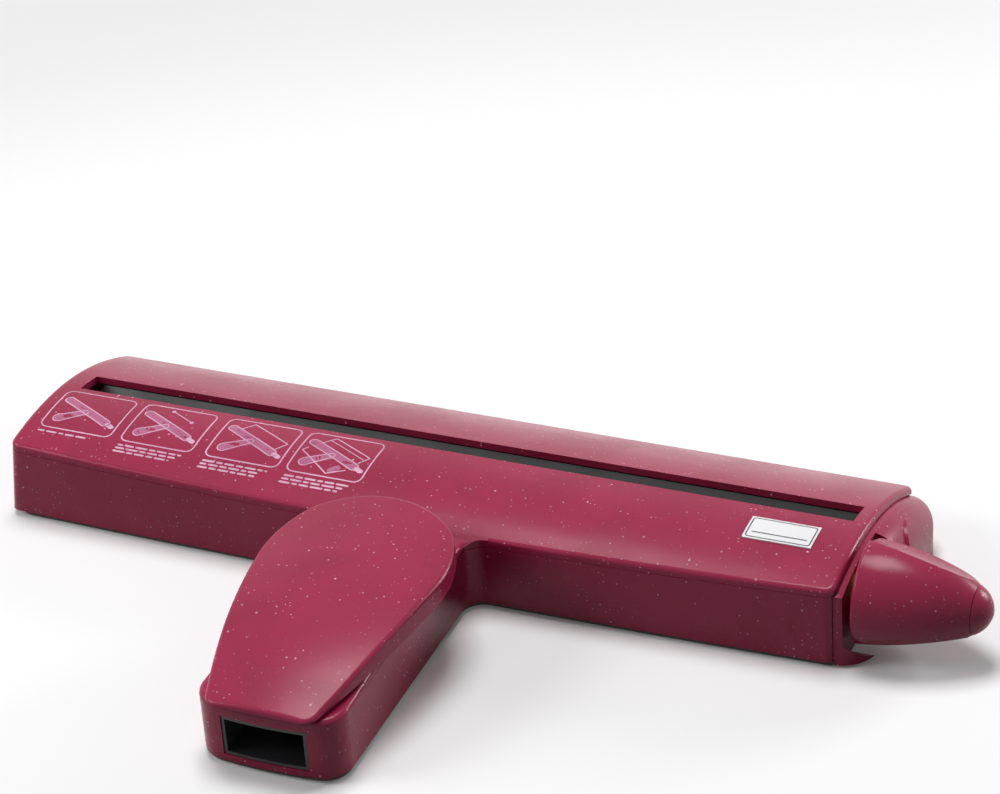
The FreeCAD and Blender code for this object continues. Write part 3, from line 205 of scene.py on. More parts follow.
class ShaderGroups:
    """The shader node groups that several finishes share, each built once."""

    def __init__(self) -> None:
        """Build every group."""
        self.flecks = self._flecks()
        self.grain = self._grain()
        self.streaks = self._streaks()
        self.mottle = self._mottle()

    @staticmethod
    def _open(
        name: str,
        inputs: dict[str, float],
        outputs: Iterable[str],
    ) -> tuple[Graph, bpy.types.Node, bpy.types.Node]:
        """Start a group.

        Args:
            name: the group's name.
            inputs: input names with their default values.
            outputs: names of the output values.

        Returns:
            The graph, its input node and its output node.
        """
        tree = bpy.data.node_groups.new(name, "ShaderNodeTree")
        tree.interface.new_socket("Place", in_out="INPUT", socket_type="NodeSocketVector")
        for label, value in inputs.items():
            socket = tree.interface.new_socket(label, in_out="INPUT", socket_type="NodeSocketFloat")
            socket.default_value = value
        for label in outputs:
            tree.interface.new_socket(label, in_out="OUTPUT", socket_type="NodeSocketFloat")
        graph = Graph(tree)
        return graph, graph.add("NodeGroupInput"), graph.add("NodeGroupOutput")

    def _flecks(self) -> bpy.types.NodeTree:
        """Sparse light flecks moulded into the plastic, of mixed size and strength."""
        inputs = {"Cells": 420.0, "Size": 0.11, "Share": 0.5}
        graph, given, result = self._open("Moulded flecks", inputs, ["Mask"])
        cells = graph.add(
            Texture.VORONOI.value,
            {"feature": "F1"},
            Vector=given.outputs["Place"],
            Scale=given.outputs["Cells"],
            Randomness=1.0,
        )
        pick = graph.add("ShaderNodeSeparateColor", Color=cells.outputs["Color"])
        reach = graph.math("MULTIPLY", given.outputs["Size"], graph.ramp(pick.outputs[1], 0.0, 1.0, 0.55, 1.3))
        near = graph.math("SUBTRACT", reach, cells.outputs["Distance"])
        dot = graph.ramp(near, 0.0, 0.05)
        shown = graph.math("LESS_THAN", pick.outputs[0], given.outputs["Share"])
        strength = graph.ramp(pick.outputs[2], 0.0, 1.0, 0.35, 1.0)
        mask = graph.math("MULTIPLY", graph.math("MULTIPLY", dot, shown), strength)
        graph.feed(result.inputs["Mask"], mask)
        return graph.tree

    def _grain(self) -> bpy.types.NodeTree:
        """Fine even grain of a moulded or cast surface, as a height."""
        graph, given, result = self._open("Surface grain", {"Cells": 2500.0, "Depth": 1.0}, ["Height"])
        noise = graph.add(
            Texture.NOISE.value,
            Vector=given.outputs["Place"],
            Scale=given.outputs["Cells"],
            Detail=3.0,
            Roughness=0.55,
        )
        graph.feed(result.inputs["Height"], graph.math("MULTIPLY", noise.outputs[0], given.outputs["Depth"]))
        return graph.tree

    def _streaks(self) -> bpy.types.NodeTree:
        """Long fine streaks along X, as on drawn or ground steel."""
        graph, given, result = self._open("Drawn streaks", {"Cells": 900.0, "Stretch": 0.02}, ["Mask"])
        spread = graph.add("ShaderNodeSeparateXYZ", Vector=given.outputs["Place"])
        slow = graph.math("MULTIPLY", spread.outputs[0], given.outputs["Stretch"])
        joined = graph.add("ShaderNodeCombineXYZ", X=slow, Y=spread.outputs[1], Z=spread.outputs[2])
        noise = graph.add(Texture.NOISE.value, Vector=joined.outputs[0], Scale=given.outputs["Cells"], Detail=4.0)
        graph.feed(result.inputs["Mask"], graph.ramp(noise.outputs[0], 0.35, 0.65))
        return graph.tree

    def _mottle(self) -> bpy.types.NodeTree:
        """Slow cloudy change over a surface, for handling marks and uneven colour."""
        graph, given, result = self._open("Slow mottle", {"Cells": 45.0, "Low": 0.35, "High": 0.65}, ["Mask"])
        noise = graph.add(
            Texture.NOISE.value,
            Vector=given.outputs["Place"],
            Scale=given.outputs["Cells"],
            Detail=2.0,
            Distortion=0.4,
        )
        graph.feed(result.inputs["Mask"], graph.ramp(noise.outputs[0], given.outputs["Low"], given.outputs["High"]))
        return graph.tree


def use_group(
    graph: Graph,
    tree: bpy.types.NodeTree,
    place: bpy.types.NodeSocket,
    **values: float,
) -> bpy.types.NodeSocket:
    """Place a shared group in a material.

    Args:
        graph: the material's graph.
        tree: the group.
        place: the object coordinates.
        values: input values by name.

    Returns:
        The group's first output.
    """
    node = graph.add("ShaderNodeGroup", {"node_tree": tree})
    graph.feed(node.inputs["Place"], place)
    for name, value in values.items():
        node.inputs[name].default_value = value
    return node.outputs[0]


def new_material(name: str) -> tuple[bpy.types.Material, Graph, bpy.types.Node]:
    """Make an empty material.

    Args:
        name: the material's name.

    Returns:
        The material, its graph and its Principled node.
    """
    material = bpy.data.materials.new(name)
    material.use_nodes = True
    material.node_tree.nodes.clear()
    graph = Graph(material.node_tree)
    shader = graph.add("ShaderNodeBsdfPrincipled")
    output = graph.add("ShaderNodeOutputMaterial")
    graph.feed(output.inputs["Surface"], shader.outputs[0])
    return material, graph, shader


@dataclass(frozen=True)
class FleckedGloss:
    """Glossy moulded plastic with sparse light flecks."""

    name: str
    colour: Colour
    shade: Colour
    fleck: Colour = (0.74, 0.42, 0.52)
    roughness: float = 0.23
    specular: float = 0.22
    fleck_share: float = 0.5
    large_cells: float = 430.0
    large_size: float = 0.13
    large_share: float = 0.7
    large_strength: float = 0.85
    small_cells: float = 820.0
    small_size: float = 0.17
    drift_cells: float = 150.0

    def material(self, groups: ShaderGroups) -> bpy.types.Material:
        """Build the finish.

        Args:
            groups: the shared shader groups.

        Returns:
            The material.
        """
        material, graph, shader = new_material(self.name)
        place = graph.place()
        cloud = use_group(graph, groups.mottle, place, Cells=38.0)
        base = graph.blend(cloud, self.shade, self.colour)
        large = use_group(
            graph,
            groups.flecks,
            place,
            Cells=self.large_cells,
            Size=self.large_size,
            Share=self.fleck_share * self.large_share,
        )
        small = use_group(
            graph,
            groups.flecks,
            place,
            Cells=self.small_cells,
            Size=self.small_size,
            Share=self.fleck_share,
        )
        drift = use_group(graph, groups.mottle, place, Cells=self.drift_cells, Low=0.36, High=0.56)
        fine = graph.math("MULTIPLY", small, graph.ramp(drift, 0.0, 1.0, 0.18, 0.85))
        mask = graph.math("MAXIMUM", graph.math("MULTIPLY", large, self.large_strength), fine)
        graph.feed(shader.inputs["Base Color"], graph.blend(mask, base, self.fleck))
        rough = graph.ramp(cloud, 0.0, 1.0, self.roughness + 0.05, self.roughness)
        graph.feed(shader.inputs["Roughness"], rough)
        shader.inputs["Specular IOR Level"].default_value = self.specular
        height = use_group(graph, groups.grain, place, Cells=1400.0)
        bump = graph.add("ShaderNodeBump", Strength=0.05, Distance=0.0002, Height=height)
        graph.feed(shader.inputs["Normal"], bump.outputs[0])
        return material


@dataclass(frozen=True)
class PlainPlastic:
    """Moulded plastic with a fine even grain."""

    name: str
    colour: Colour
    shade: Colour
    roughness: float = 0.55
    grain: float = 0.18
    grain_cells: float = 1800.0

    def material(self, groups: ShaderGroups) -> bpy.types.Material:
        """Build the finish.

        Args:
            groups: the shared shader groups.

        Returns:
            The material.
        """
        material, graph, shader = new_material(self.name)
        place = graph.place()
        cloud = use_group(graph, groups.mottle, place, Cells=70.0)
        graph.feed(shader.inputs["Base Color"], graph.blend(cloud, self.shade, self.colour))
        rough = graph.ramp(cloud, 0.0, 1.0, self.roughness + 0.08, self.roughness)
        graph.feed(shader.inputs["Roughness"], rough)
        height = use_group(graph, groups.grain, place, Cells=self.grain_cells)
        bump = graph.add("ShaderNodeBump", Strength=self.grain, Distance=0.0003, Height=height)
        graph.feed(shader.inputs["Normal"], bump.outputs[0])
        return material


@dataclass(frozen=True)
class DrawnMetal:
    """Metal with fine streaks from drawing or grinding."""

    name: str
    colour: Colour
    shade: Colour
    roughness: float = 0.3
    streak_cells: float = 1100.0

    def material(self, groups: ShaderGroups) -> bpy.types.Material:
        """Build the finish.

        Args:
            groups: the shared shader groups.

        Returns:
            The material.
        """
        material, graph, shader = new_material(self.name)
        place = graph.place()
        streak = use_group(graph, groups.streaks, place, Cells=self.streak_cells)
        graph.feed(shader.inputs["Base Color"], graph.blend(streak, self.shade, self.colour))
        rough = graph.ramp(streak, 0.0, 1.0, self.roughness + 0.14, self.roughness)
        graph.feed(shader.inputs["Roughness"], rough)
        shader.inputs["Metallic"].default_value = 1.0
        bump = graph.add("ShaderNodeBump", Strength=0.12, Distance=0.0001, Height=streak)
        graph.feed(shader.inputs["Normal"], bump.outputs[0])
        return material


@dataclass(frozen=True)
class Finishes:
    """Every finish of the crimper."""

    burgundy: FleckedGloss = FleckedGloss("burgundy_gloss", (0.345, 0.018, 0.07), (0.30, 0.014, 0.057))
    black: PlainPlastic = PlainPlastic("black_plastic", (0.014, 0.014, 0.016), (0.009, 0.009, 0.011), 0.42)
    roller: PlainPlastic = PlainPlastic("roller_plastic", (0.055, 0.055, 0.06), (0.035, 0.035, 0.04), 0.38)
    nylon: PlainPlastic = PlainPlastic("gear_nylon", (0.72, 0.70, 0.62), (0.64, 0.62, 0.55), 0.45)
    rubber: PlainPlastic = PlainPlastic("foot_rubber", (0.02, 0.02, 0.02), (0.03, 0.03, 0.03), 0.8, 0.4, 2600.0)
    label: PlainPlastic = PlainPlastic("label_white", (0.86, 0.86, 0.87), (0.80, 0.80, 0.82), 0.35, 0.04)
    print_white: PlainPlastic = PlainPlastic("printed_line", (0.74, 0.42, 0.56), (0.62, 0.33, 0.47), 0.45, 0.1)
    print_tint: PlainPlastic = PlainPlastic("printed_tint", (0.42, 0.11, 0.22), (0.36, 0.08, 0.17), 0.45, 0.1)
    # This black draws the painted shadow along the label's edge as well as the label's printed rule.
    print_black: PlainPlastic = PlainPlastic("printed_black", (0.02, 0.02, 0.025), (0.05, 0.04, 0.05), 0.4, 0.1)
    steel: DrawnMetal = DrawnMetal("drawn_steel", (0.62, 0.63, 0.65), (0.48, 0.49, 0.51))
    plate: DrawnMetal = DrawnMetal("plated_sheet", (0.55, 0.56, 0.57), (0.44, 0.45, 0.46), 0.36, 600.0)
    bronze: DrawnMetal = DrawnMetal("bearing_bronze", (0.55, 0.37, 0.16), (0.42, 0.27, 0.11), 0.38)


NODE_FINISH: dict[str, str] = {
    "top_cover": "burgundy",
    "housing": "burgundy",
    "right_end_cap": "burgundy",
    "press_lever": "burgundy",
    "knob": "burgundy",
    "knob_nose_cap": "burgundy",
    "base_plate": "black",
    "handle_liner": "black",
    "knob_spacer": "black",
    "front_entry_guide": "black",
    "rear_entry_guide": "black",
    "exit_ramp": "black",
    "front_roller": "roller",
    "rear_roller": "roller",
    "front_roller_gear": "nylon",
    "rear_roller_gear": "nylon",
    "drive_pinion": "nylon",
    "label_plate": "label",
    "rubber_feet": "rubber",
    "left_side_frame": "plate",
    "right_side_frame": "plate",
    "front_roller_bushes": "bronze",
    "rear_roller_bushes": "bronze",
    "spindle_inner_bush": "bronze",
    "spindle_outer_bush": "bronze",
    "case_screws": "steel",
    "frame_screws": "steel",
    "lever_hinge_pin": "steel",
    "lever_spring": "steel",
    "front_roller_shaft": "steel",
    "rear_roller_shaft": "steel",
    "front_shaft_clip": "steel",
    "rear_shaft_clip": "steel",
    "spindle_clip": "steel",
    "knob_screw": "steel",
    "drive_spindle": "steel",
}


class Workshop:
    """Makes objects from meshes and gives them finishes."""

    def __init__(self) -> None:
        """Build the shader groups and every finish's material."""
        groups = ShaderGroups()
        finishes = Finishes()
        names = finishes.__dataclass_fields__
        self.materials = {name: getattr(finishes, name).material(groups) for name in names}

    def dress(self, piece: bpy.types.Object, finish: str) -> None:
        """Give a piece its only material.

        Args:
            piece: the object to dress.
            finish: the finish's name.
        """
        piece.data.materials.clear()
        piece.data.materials.append(self.materials[finish])

    def piece(self, name: str, mesh: bmesh.types.BMesh, finish: str, smooth: bool = True) -> bpy.types.Object:
        """Turn a bmesh into a dressed object at the origin.

        Args:
            name: the object's name.
            mesh: its geometry, in metres in the row frame; it is freed.
            finish: the finish's name.
            smooth: whether its faces are shaded smooth.

        Returns:
            The new object.
        """
        for face in mesh.faces:
            face.smooth = smooth
        data = bpy.data.meshes.new(name)
        mesh.to_mesh(data)
        mesh.free()
        made = bpy.data.objects.new(name, data)
        bpy.context.scene.collection.objects.link(made)
        self.dress(made, finish)
        LOG.info("%s: %d faces", name, len(data.polygons))
        return made


@dataclass
class CrimpRoller:
    """Ridged roller whose ridges run along it in gentle waves."""

    side: Side
    centre_y: float
    centre_z: float = 12.0 * MM
    half_length: float = 109.0 * MM
    ridges: int = 9
    steps_per_ridge: int = 12
    tip_radius: float = 8.5 * MM
    root_radius: float = 6.9 * MM
    bore_radius: float = 2.5 * MM
    wave_length: float = 22.0 * MM
    wave_turn: float = math.radians(13.0)
    slice_length: float = 1.1 * MM

    def _turn_at(self, x: float) -> float:
        """Give how far the ridges have turned at x, in radians."""
        return self.side.value * self.wave_turn * math.sin(2 * math.pi * x / self.wave_length)

    def _shape_ring(self, ring: Iterable[bmesh.types.BMVert]) -> None:
        """Push a round ring of vertices out and in to the ridged outline.

        Args:
            ring: vertices round the X axis.
        """
        middle = (self.tip_radius + self.root_radius) / 2
        swing = (self.tip_radius - self.root_radius) / 2
        start = 0.0 if self.side is Side.FRONT else math.pi + math.pi / self.ridges
        for vert in ring:
            angle = math.atan2(vert.co.z, vert.co.y)
            radius = middle + swing * math.cos(self.ridges * (angle - start))
            vert.co = Vector((vert.co.x, radius * math.cos(angle), radius * math.sin(angle)))

    def build(self, shop: Workshop) -> bpy.types.Object:
        """Build the roller and let it stand for the CAD one.

        Args:
            shop: makes and dresses the object.

        Returns:
            The roller.
        """
        mesh = bmesh.new()
        count = self.ridges * self.steps_per_ridge
        upright = Matrix.Translation((-self.half_length, 0, 0)) @ Matrix.Rotation(math.pi / 2, 4, "Y")
        bmesh.ops.create_circle(mesh, segments=count, radius=self.tip_radius, matrix=upright)
        ring = list(mesh.verts)
        self._shape_ring(ring)
        first = list(mesh.edges)
        turned = self._turn_at(-self.half_length)
        bmesh.ops.rotate(mesh, verts=ring, cent=(0, 0, 0), matrix=Matrix.Rotation(turned, 3, "X"))
        slices = round(2 * self.half_length / self.slice_length)
        edges = first
        for step in range(1, slices + 1):
            x = -self.half_length + 2 * self.half_length * step / slices
            made = bmesh.ops.extrude_edge_only(mesh, edges=edges)["geom"]
            ring = [item for item in made if isinstance(item, bmesh.types.BMVert)]
            edges = [item for item in made if isinstance(item, bmesh.types.BMEdge)]
            edges = [edge for edge in edges if all(vert in set(ring) for vert in edge.verts)]
            bmesh.ops.translate(mesh, verts=ring, vec=(2 * self.half_length / slices, 0, 0))
            turn = self._turn_at(x)
            bmesh.ops.rotate(mesh, verts=ring, cent=(0, 0, 0), matrix=Matrix.Rotation(turn - turned, 3, "X"))
            turned = turn
        bores = [self._close_end(mesh, loop) for loop in (first, edges)]
        bmesh.ops.bridge_loops(mesh, edges=bores[0] + bores[1])
        bmesh.ops.recalc_face_normals(mesh, faces=mesh.faces)
        bmesh.ops.translate(mesh, verts=mesh.verts, vec=(0, self.centre_y, self.centre_z))
        name = self.side.name.lower()
        made_piece = shop.piece(f"{name}_waved_roller", mesh, "roller")
        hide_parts(f"{name}_roller")
        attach(made_piece, f"{name}_roller_set")
        return made_piece

    def _close_end(self, mesh: bmesh.types.BMesh, loop: list[bmesh.types.BMEdge]) -> list[bmesh.types.BMEdge]:
        """Draw one end of the barrel in to its bore.

        Args:
            mesh: the roller's mesh.
            loop: the open edges of that end.

        Returns:
            The edges round the bore.
        """
        made = bmesh.ops.extrude_edge_only(mesh, edges=loop)["geom"]
        inner = [item for item in made if isinstance(item, bmesh.types.BMVert)]
        for vert in inner:
            flat = Vector((0, vert.co.y, vert.co.z)).normalized() * self.bore_radius
            vert.co = Vector((vert.co.x, flat.y, flat.z))
        kept = set(inner)
        edges = [item for item in made if isinstance(item, bmesh.types.BMEdge)]
        return [edge for edge in edges if all(vert in kept for vert in edge.verts)]


class Surface:
    """Finds the height of a CAD node's upper surface."""

    def __init__(self, node: str, frame: dict) -> None:
        """Keep the node's mesh for looking up heights.

        Args:
            node: the CAD node's name.
        """
        source = frame["nodes"][node].data
        source.calc_loop_triangles()
        corners = [vert.co.copy() for vert in source.vertices]
        faces = [tuple(triangle.vertices) for triangle in source.loop_triangles]
        self.tree = BVHTree.FromPolygons(corners, faces)

    def height(self, x: float, y: float) -> float:
        """Give the height of the surface at a place in plan."""
        hit = self.tree.ray_cast(Vector((x, y, 0.1)), Vector((0, 0, -1)))
        return hit[0].z if hit[0] is not None else 0.0


@dataclass
class InkDrawing:
    """Flat printed marks, and the painted shadow line at the label's edge, that lie on a curved surface."""

    surface: Surface
    width: float = 0.42 * MM
    lift: float = 0.035 * MM
    longest: float = 1.0 * MM
    mesh: bmesh.types.BMesh = field(default_factory=bmesh.new)

    def stroke(self, points: list[Point], closed: bool = False, width: float | None = None) -> None:
        """Draw a line through points in plan.

        Args:
            points: places in metres.
            closed: whether the line returns to its start.
            width: the line's width, if it isn't the usual one.
        """
        wide = width or self.width
        ends = points + points[:1] if closed else points
        for start, end in zip(ends, ends[1:]):
            self._bar(Vector(start), Vector(end), wide)
        for point in points:
            turned = Matrix.Translation((point[0], point[1], 0))
            bmesh.ops.create_circle(self.mesh, cap_ends=True, segments=10, radius=wide / 2, matrix=turned)

    def _bar(self, start: Vector, end: Vector, width: float) -> None:
        """Lay one straight run of ink.

        Args:
            start: its first end in plan.
            end: its last end in plan.
            width: how wide it is.
        """
        run = end - start
        steps = max(1, math.ceil(run.length / self.longest))
        middle = (start + end) / 2
        turn = Matrix.Rotation(math.atan2(run.y, run.x), 4, "Z")
        scale = Matrix.Diagonal((run.length, width, 1, 1))
        place = Matrix.Translation((middle.x, middle.y, 0)) @ turn @ scale
        bmesh.ops.create_grid(self.mesh, x_segments=steps, y_segments=1, size=0.5, matrix=place)

    def settle(self) -> bmesh.types.BMesh:
        """Lay everything drawn on the surface and hand over the mesh."""
        for vert in self.mesh.verts:
            vert.co.z = self.surface.height(vert.co.x, vert.co.y) + self.lift
        for face in self.mesh.faces:
            face.normal_update()
            if face.normal.z < 0:
                face.normal_flip()
        return self.mesh


def rounded_frame(x: float, y: float, width: float, depth: float, radius: float, steps: int = 4) -> list[Point]:
    """Points of a rounded rectangle.

    Args:
        x: its left edge.
        y: its front edge.
        width: its size along X.
        depth: its size along Y.
        radius: its corner radius.
        steps: points along each corner.

    Returns:
        The outline's points.
    """
    points = []
    corners = [(x + width, y + depth), (x, y + depth), (x, y), (x + width, y)]
    inward = [(-1, -1), (1, -1), (1, 1), (-1, 1)]
    for quarter, (corner, side) in enumerate(zip(corners, inward)):
        centre = (corner[0] + side[0] * radius, corner[1] + side[1] * radius)
        for step in range(steps + 1):
            angle = math.pi / 2 * (quarter + step / steps)
            points.append((centre[0] + radius * math.cos(angle), centre[1] + radius * math.sin(angle)))
    return points


class Pictogram(Enum):
    """What a panel shows beside the tool itself."""

    TOOL = 0
    GAP = 1
    SHEET_IN = 2
    SHEET_THROUGH = 3


@dataclass
class PrintedPanels:
    """Four framed pictograms on the left of the lid, with plain broken rules below them."""

    lefts: tuple[float, ...] = (-113.8, -88.9, -63.2, -38.9)
    front: float = -24.6
    width: float = 21.8
    depth: float = 17.4
    corner: float = 2.0
    bar_width: float = 2.5
    grip_width: float = 3.0
    rule_width: float = 0.6
    rule_step: float = 1.15
    rules: tuple[int, ...] = (1, 3, 3, 3)
    dashes: tuple[float, ...] = (1.6, 2.7, 1.1, 2.2, 3.1, 1.4, 2.4)

    def build(self, shop: Workshop, surface: Surface) -> list[bpy.types.Object]:
        """Draw the four panels.

        Args:
            shop: makes and dresses the object.
            surface: the lid's upper surface.

        Returns:
            The printed lines and the tints under them.
        """
        lines = InkDrawing(surface)
        tints = InkDrawing(surface, lift=0.02 * MM)
        for left, shown in zip(self.lefts, Pictogram):
            outline = rounded_frame(left, self.front, self.width, self.depth, self.corner)
            lines.stroke([(x * MM, y * MM) for x, y in outline], closed=True)
            self._tool(lines, tints, left)
            self._action(lines, tints, left, shown)
            self._rules(lines, left, shown)
        made = [
            shop.piece("lid_pictograms", lines.settle(), "print_white"),
            shop.piece("lid_pictogram_tints", tints.settle(), "print_tint"),
        ]
        for piece in made:
            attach(piece, "casing")
        return made

    def _at(self, left: float, points: list[Point]) -> list[Point]:
        """Place points given in shares of the panel.

        Args:
            left: the panel's left edge, in millimetres.
            points: shares of the panel's width and depth.

        Returns:
            The places in metres.
        """
        return [((left + u * self.width) * MM, (self.front + v * self.depth) * MM) for u, v in points]

    def _tool(self, lines: InkDrawing, tints: InkDrawing, left: float) -> None:
        """Draw the T-shaped tool with its bar, grip and knob.

        Args:
            lines: takes the outlines.
            tints: takes the fills.
            left: the panel's left edge, in millimetres.
        """
        bar = self._at(left, [(0.12, 0.74), (0.82, 0.30)])
        grip = self._at(left, [(0.46, 0.48), (0.17, 0.24)])
        knob = self._at(left, [(0.86, 0.275), (0.93, 0.23)])
        tints.stroke(grip, width=self.grip_width * MM)
        tints.stroke(bar, width=self.bar_width * MM)
        lines.stroke(capsule(grip, self.grip_width * MM, 0.55), closed=True, width=0.3 * MM)
        lines.stroke(capsule(bar, self.bar_width * MM), closed=True, width=0.34 * MM)
        lines.stroke(knob, width=1.5 * MM)

    def _action(self, lines: InkDrawing, tints: InkDrawing, left: float, shown: Pictogram) -> None:
        """Draw what happens at the tool.

        Args:
            lines: takes the outlines.
            tints: takes the fills.
            left: the panel's left edge, in millimetres.
            shown: which of the four it is.
        """
        if shown is Pictogram.GAP:
            ends = self._at(left, [(0.40, 0.90), (0.74, 0.68)])
            lines.stroke(ends, width=0.3 * MM)
            for end in ends:
                lines.stroke([end], width=1.2 * MM)
        if shown in (Pictogram.SHEET_IN, Pictogram.SHEET_THROUGH):
            behind = [(0.24, 0.76), (0.36, 0.93), (0.94, 0.56), (0.84, 0.40)]
            lines.stroke(self._at(left, behind), width=0.34 * MM)
        if shown is Pictogram.SHEET_THROUGH:
            lines.stroke(self._at(left, [(0.30, 0.86), (0.90, 0.48)]), width=0.25 * MM)
            before = [(0.10, 0.58), (0.05, 0.50), (0.52, 0.07), (0.74, 0.20)]
            lines.stroke(self._at(left, before), width=0.34 * MM)
            tints.stroke(self._at(left, [(0.56, 0.15), (0.62, 0.22)]), width=2.0 * MM)

    def _rules(self, lines: InkDrawing, left: float, shown: Pictogram) -> None:
        """Draw plain broken rules below a panel.

        Args:
            lines: takes the dashes.
            left: the panel's left edge, in millimetres.
            shown: which of the four it is.
        """
        for row in range(self.rules[shown.value]):
            y = self.front - 1.7 - row * self.rule_step
            x = left + 0.8 - 0.25 * row
            end = x + self.width * (0.66 if shown is Pictogram.TOOL else 0.86 - 0.05 * row)
            place = row + 2 * shown.value
            while x < end:
                dash = min(self.dashes[place % len(self.dashes)], end - x)
                lines.stroke([(x * MM, y * MM), ((x + dash) * MM, y * MM)], width=self.rule_width * MM)
                x += dash + 1.05
                place += 1


def capsule(ends: list[Point], width: float, taper: float = 1.0, steps: int = 6) -> list[Point]:
    """Points round a straight shape with round ends.

    Args:
        ends: its two ends in plan.
        width: its width at the last end.
        taper: its width at the first end, as a share of the last.
        steps: points round each end.

    Returns:
        The outline's points.
    """
    points = []
    along = math.atan2(ends[1][1] - ends[0][1], ends[1][0] - ends[0][0])
    for end, radius, turn in ((ends[1], width / 2, -0.5), (ends[0], width / 2 * taper, 0.5)):
        for step in range(steps + 1):
            angle = along + math.pi * (turn + step / steps)
            points.append((end[0] + radius * math.cos(angle), end[1] + radius * math.sin(angle)))
    return points


@dataclass
class LabelEdgeShadowAndRule:
    """Thin dark painted shadow along the bare white label's edge, and one plain printed rule on the label."""

    left: float = 87.95
    front: float = -19.55
    width: float = 16.9
    depth: float = 7.7
    corner: float = 0.7
    rule_y: float = -17.6
    rule_inset: float = 1.3

    def build(self, shop: Workshop, surface: Surface) -> bpy.types.Object:
        """Draw the painted shadow along the label's edge and the printed rule.

        Args:
            shop: makes and dresses the object.
            surface: the label's upper surface.

        Returns:
            The painted edge shadow together with the printed rule.
        """
        ink = InkDrawing(surface, lift=0.03 * MM)
        # The closed outline is a painted shadow line along the label's edge; the rule below it is print.
        outline = rounded_frame(self.left, self.front, self.width, self.depth, self.corner)
        ink.stroke([(x * MM, y * MM) for x, y in outline], closed=True, width=0.3 * MM)
        low = (self.left + self.rule_inset) * MM
        high = (self.left + self.width - self.rule_inset) * MM
        ink.stroke([(low, self.rule_y * MM), (high, self.rule_y * MM)], width=0.35 * MM)
        made = shop.piece("label_border", ink.settle(), "print_black")
        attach(made, "casing")
        return made


@dataclass(frozen=True)
class Softbox:
    """One square lamp that faces the object."""

    name: str
    place: tuple[float, float, float]
    size: float
    power: float


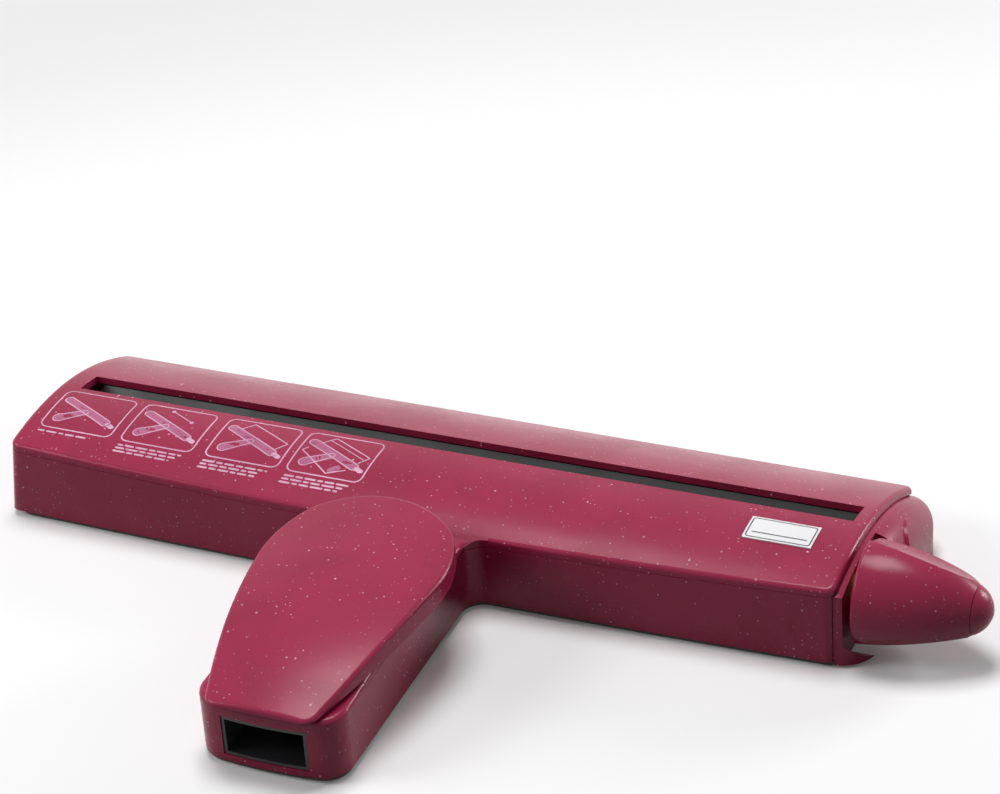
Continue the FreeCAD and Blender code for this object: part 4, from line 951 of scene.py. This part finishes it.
@dataclass
class Studio:
    """White floor and surround with soft studio light."""

    softboxes: tuple[Softbox, ...] = (
        Softbox("top_softbox", (-0.08, 0.12, 1.15), 0.5, 9.0),
        Softbox("left_softbox", (-0.62, -0.40, 0.50), 0.35, 2.6),
        Softbox("right_softbox", (0.56, 0.54, 0.25), 0.25, 2.6),
    )
    floor_z: float = -0.6 * MM
    floor_reach: float = 4.0
    floor_colour: Colour = (0.90, 0.90, 0.905)
    bounce_colour: Colour = (0.16, 0.16, 0.165)
    near_glow: float = 0.06
    glow_start: float = 0.22
    glow_end: float = 0.75
    ambient: float = 0.15

    def build(self) -> None:
        """Build the floor, the world and the lamps."""
        self._floor()
        self._world()
        for softbox in self.softboxes:
            self._lamp(softbox)

    @staticmethod
    def _shown(graph: Graph) -> bpy.types.NodeSocket:
        """Tell the rays that show the surround from those that light the object.

        Args:
            graph: the graph of the floor or the world.

        Returns:
            A socket that is 1 for camera, glossy and transmission rays.
        """
        path = graph.add("ShaderNodeLightPath")
        mirrored = graph.math("MAXIMUM", path.outputs["Is Glossy Ray"], path.outputs["Is Transmission Ray"])
        return graph.math("MAXIMUM", path.outputs["Is Camera Ray"], mirrored)

    def _floor(self) -> None:
        """Build the floor, which keeps the shadow near the object and turns white farther out."""
        mesh = bmesh.new()
        place = Matrix.Translation((0, 0, self.floor_z))
        bmesh.ops.create_circle(mesh, cap_ends=True, segments=96, radius=self.floor_reach, matrix=place)
        data = bpy.data.meshes.new("floor")
        mesh.to_mesh(data)
        mesh.free()
        floor = bpy.data.objects.new("floor", data)
        bpy.context.scene.collection.objects.link(floor)
        material, graph, shader = new_material("studio_floor")
        shown = self._shown(graph)
        reach = graph.add("ShaderNodeVectorMath", {"operation": "LENGTH"}, Vector=graph.place()).outputs["Value"]
        far = graph.ramp(reach, self.glow_start, self.glow_end)
        near = graph.blend(shown, self.bounce_colour, self.floor_colour)
        graph.feed(shader.inputs["Base Color"], graph.blend(far, near, (0.0, 0.0, 0.0)))
        glow = graph.ramp(far, 0.0, 1.0, self.near_glow, 1.0)
        shader.inputs["Emission Color"].default_value = (1.0, 1.0, 1.0, 1.0)
        graph.feed(shader.inputs["Emission Strength"], graph.math("MULTIPLY", shown, glow))
        shader.inputs["Roughness"].default_value = 1.0
        shader.inputs["Specular IOR Level"].default_value = 0.0
        data.materials.append(material)

    def _world(self) -> None:
        """Give an even white surround that lights the object less than it shows."""
        world = bpy.data.worlds.new("studio")
        bpy.context.scene.world = world
        world.use_nodes = True
        world.node_tree.nodes.clear()
        graph = Graph(world.node_tree)
        level = graph.ramp(self._shown(graph), 0.0, 1.0, self.ambient, 1.0)
        surround = graph.add("ShaderNodeBackground", Color=(1.0, 1.0, 1.0, 1.0), Strength=level)
        output = graph.add("ShaderNodeOutputWorld")
        graph.feed(output.inputs["Surface"], surround.outputs[0])

    def _lamp(self, softbox: Softbox) -> None:
        """Hang one lamp.

        Args:
            softbox: its name, place in metres, side length and power in watts.
        """
        data = bpy.data.lights.new(softbox.name, "AREA")
        data.size = softbox.size
        data.energy = softbox.power
        lamp = bpy.data.objects.new(softbox.name, data)
        lamp.location = softbox.place
        lamp.rotation_euler = Vector(softbox.place).to_track_quat("Z", "Y").to_euler()
        bpy.context.scene.collection.objects.link(lamp)


@dataclass
class PhotoCamera:
    """Camera at the photograph's place and angle."""

    place: tuple[float, float, float] = (0.3352, -0.6781, 0.4802)
    azimuth: float = math.radians(25.367)
    elevation: float = math.radians(30.29)
    roll: float = math.radians(-4.13)
    lens: float = 119.76
    sensor: float = 36.0

    def build(self) -> None:
        """Build the camera and make it the scene's."""
        data = bpy.data.cameras.new("photo_camera")
        data.lens = self.lens
        data.sensor_width = self.sensor
        data.clip_end = 20.0
        camera = bpy.data.objects.new("photo_camera", data)
        turn = Matrix.Rotation(self.azimuth, 4, "Z") @ Matrix.Rotation(math.pi / 2 - self.elevation, 4, "X")
        camera.matrix_world = Matrix.Translation(self.place) @ turn @ Matrix.Rotation(self.roll, 4, "Z")
        bpy.context.scene.collection.objects.link(camera)
        bpy.context.scene.camera = camera


def axis_y(frame: dict, joint: str) -> float:
    """Give the Y place of a joint's axis."""
    return next(item["pos_m"][1] for item in frame["joints"] if item["name"] == joint)


def main() -> None:
    """Build the scene."""
    logging.basicConfig(level=logging.INFO, format="%(name)s: %(message)s")
    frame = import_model()
    shop = Workshop()
    for node, finish in NODE_FINISH.items():
        shop.dress(frame["nodes"][node], finish)
    CrimpRoller(Side.FRONT, axis_y(frame, "front_roller_turn")).build(shop)
    CrimpRoller(Side.REAR, axis_y(frame, "rear_roller_turn")).build(shop)
    PrintedPanels().build(shop, Surface("top_cover", frame))
    # Draws the painted shadow along the label's edge and the label's printed rule.
    LabelEdgeShadowAndRule().build(shop, Surface("label_plate", frame))
    Studio().build()
    PhotoCamera().build()
    bpy.context.scene.view_settings.view_transform = "Standard"


if __name__ == "__main__":
    main()
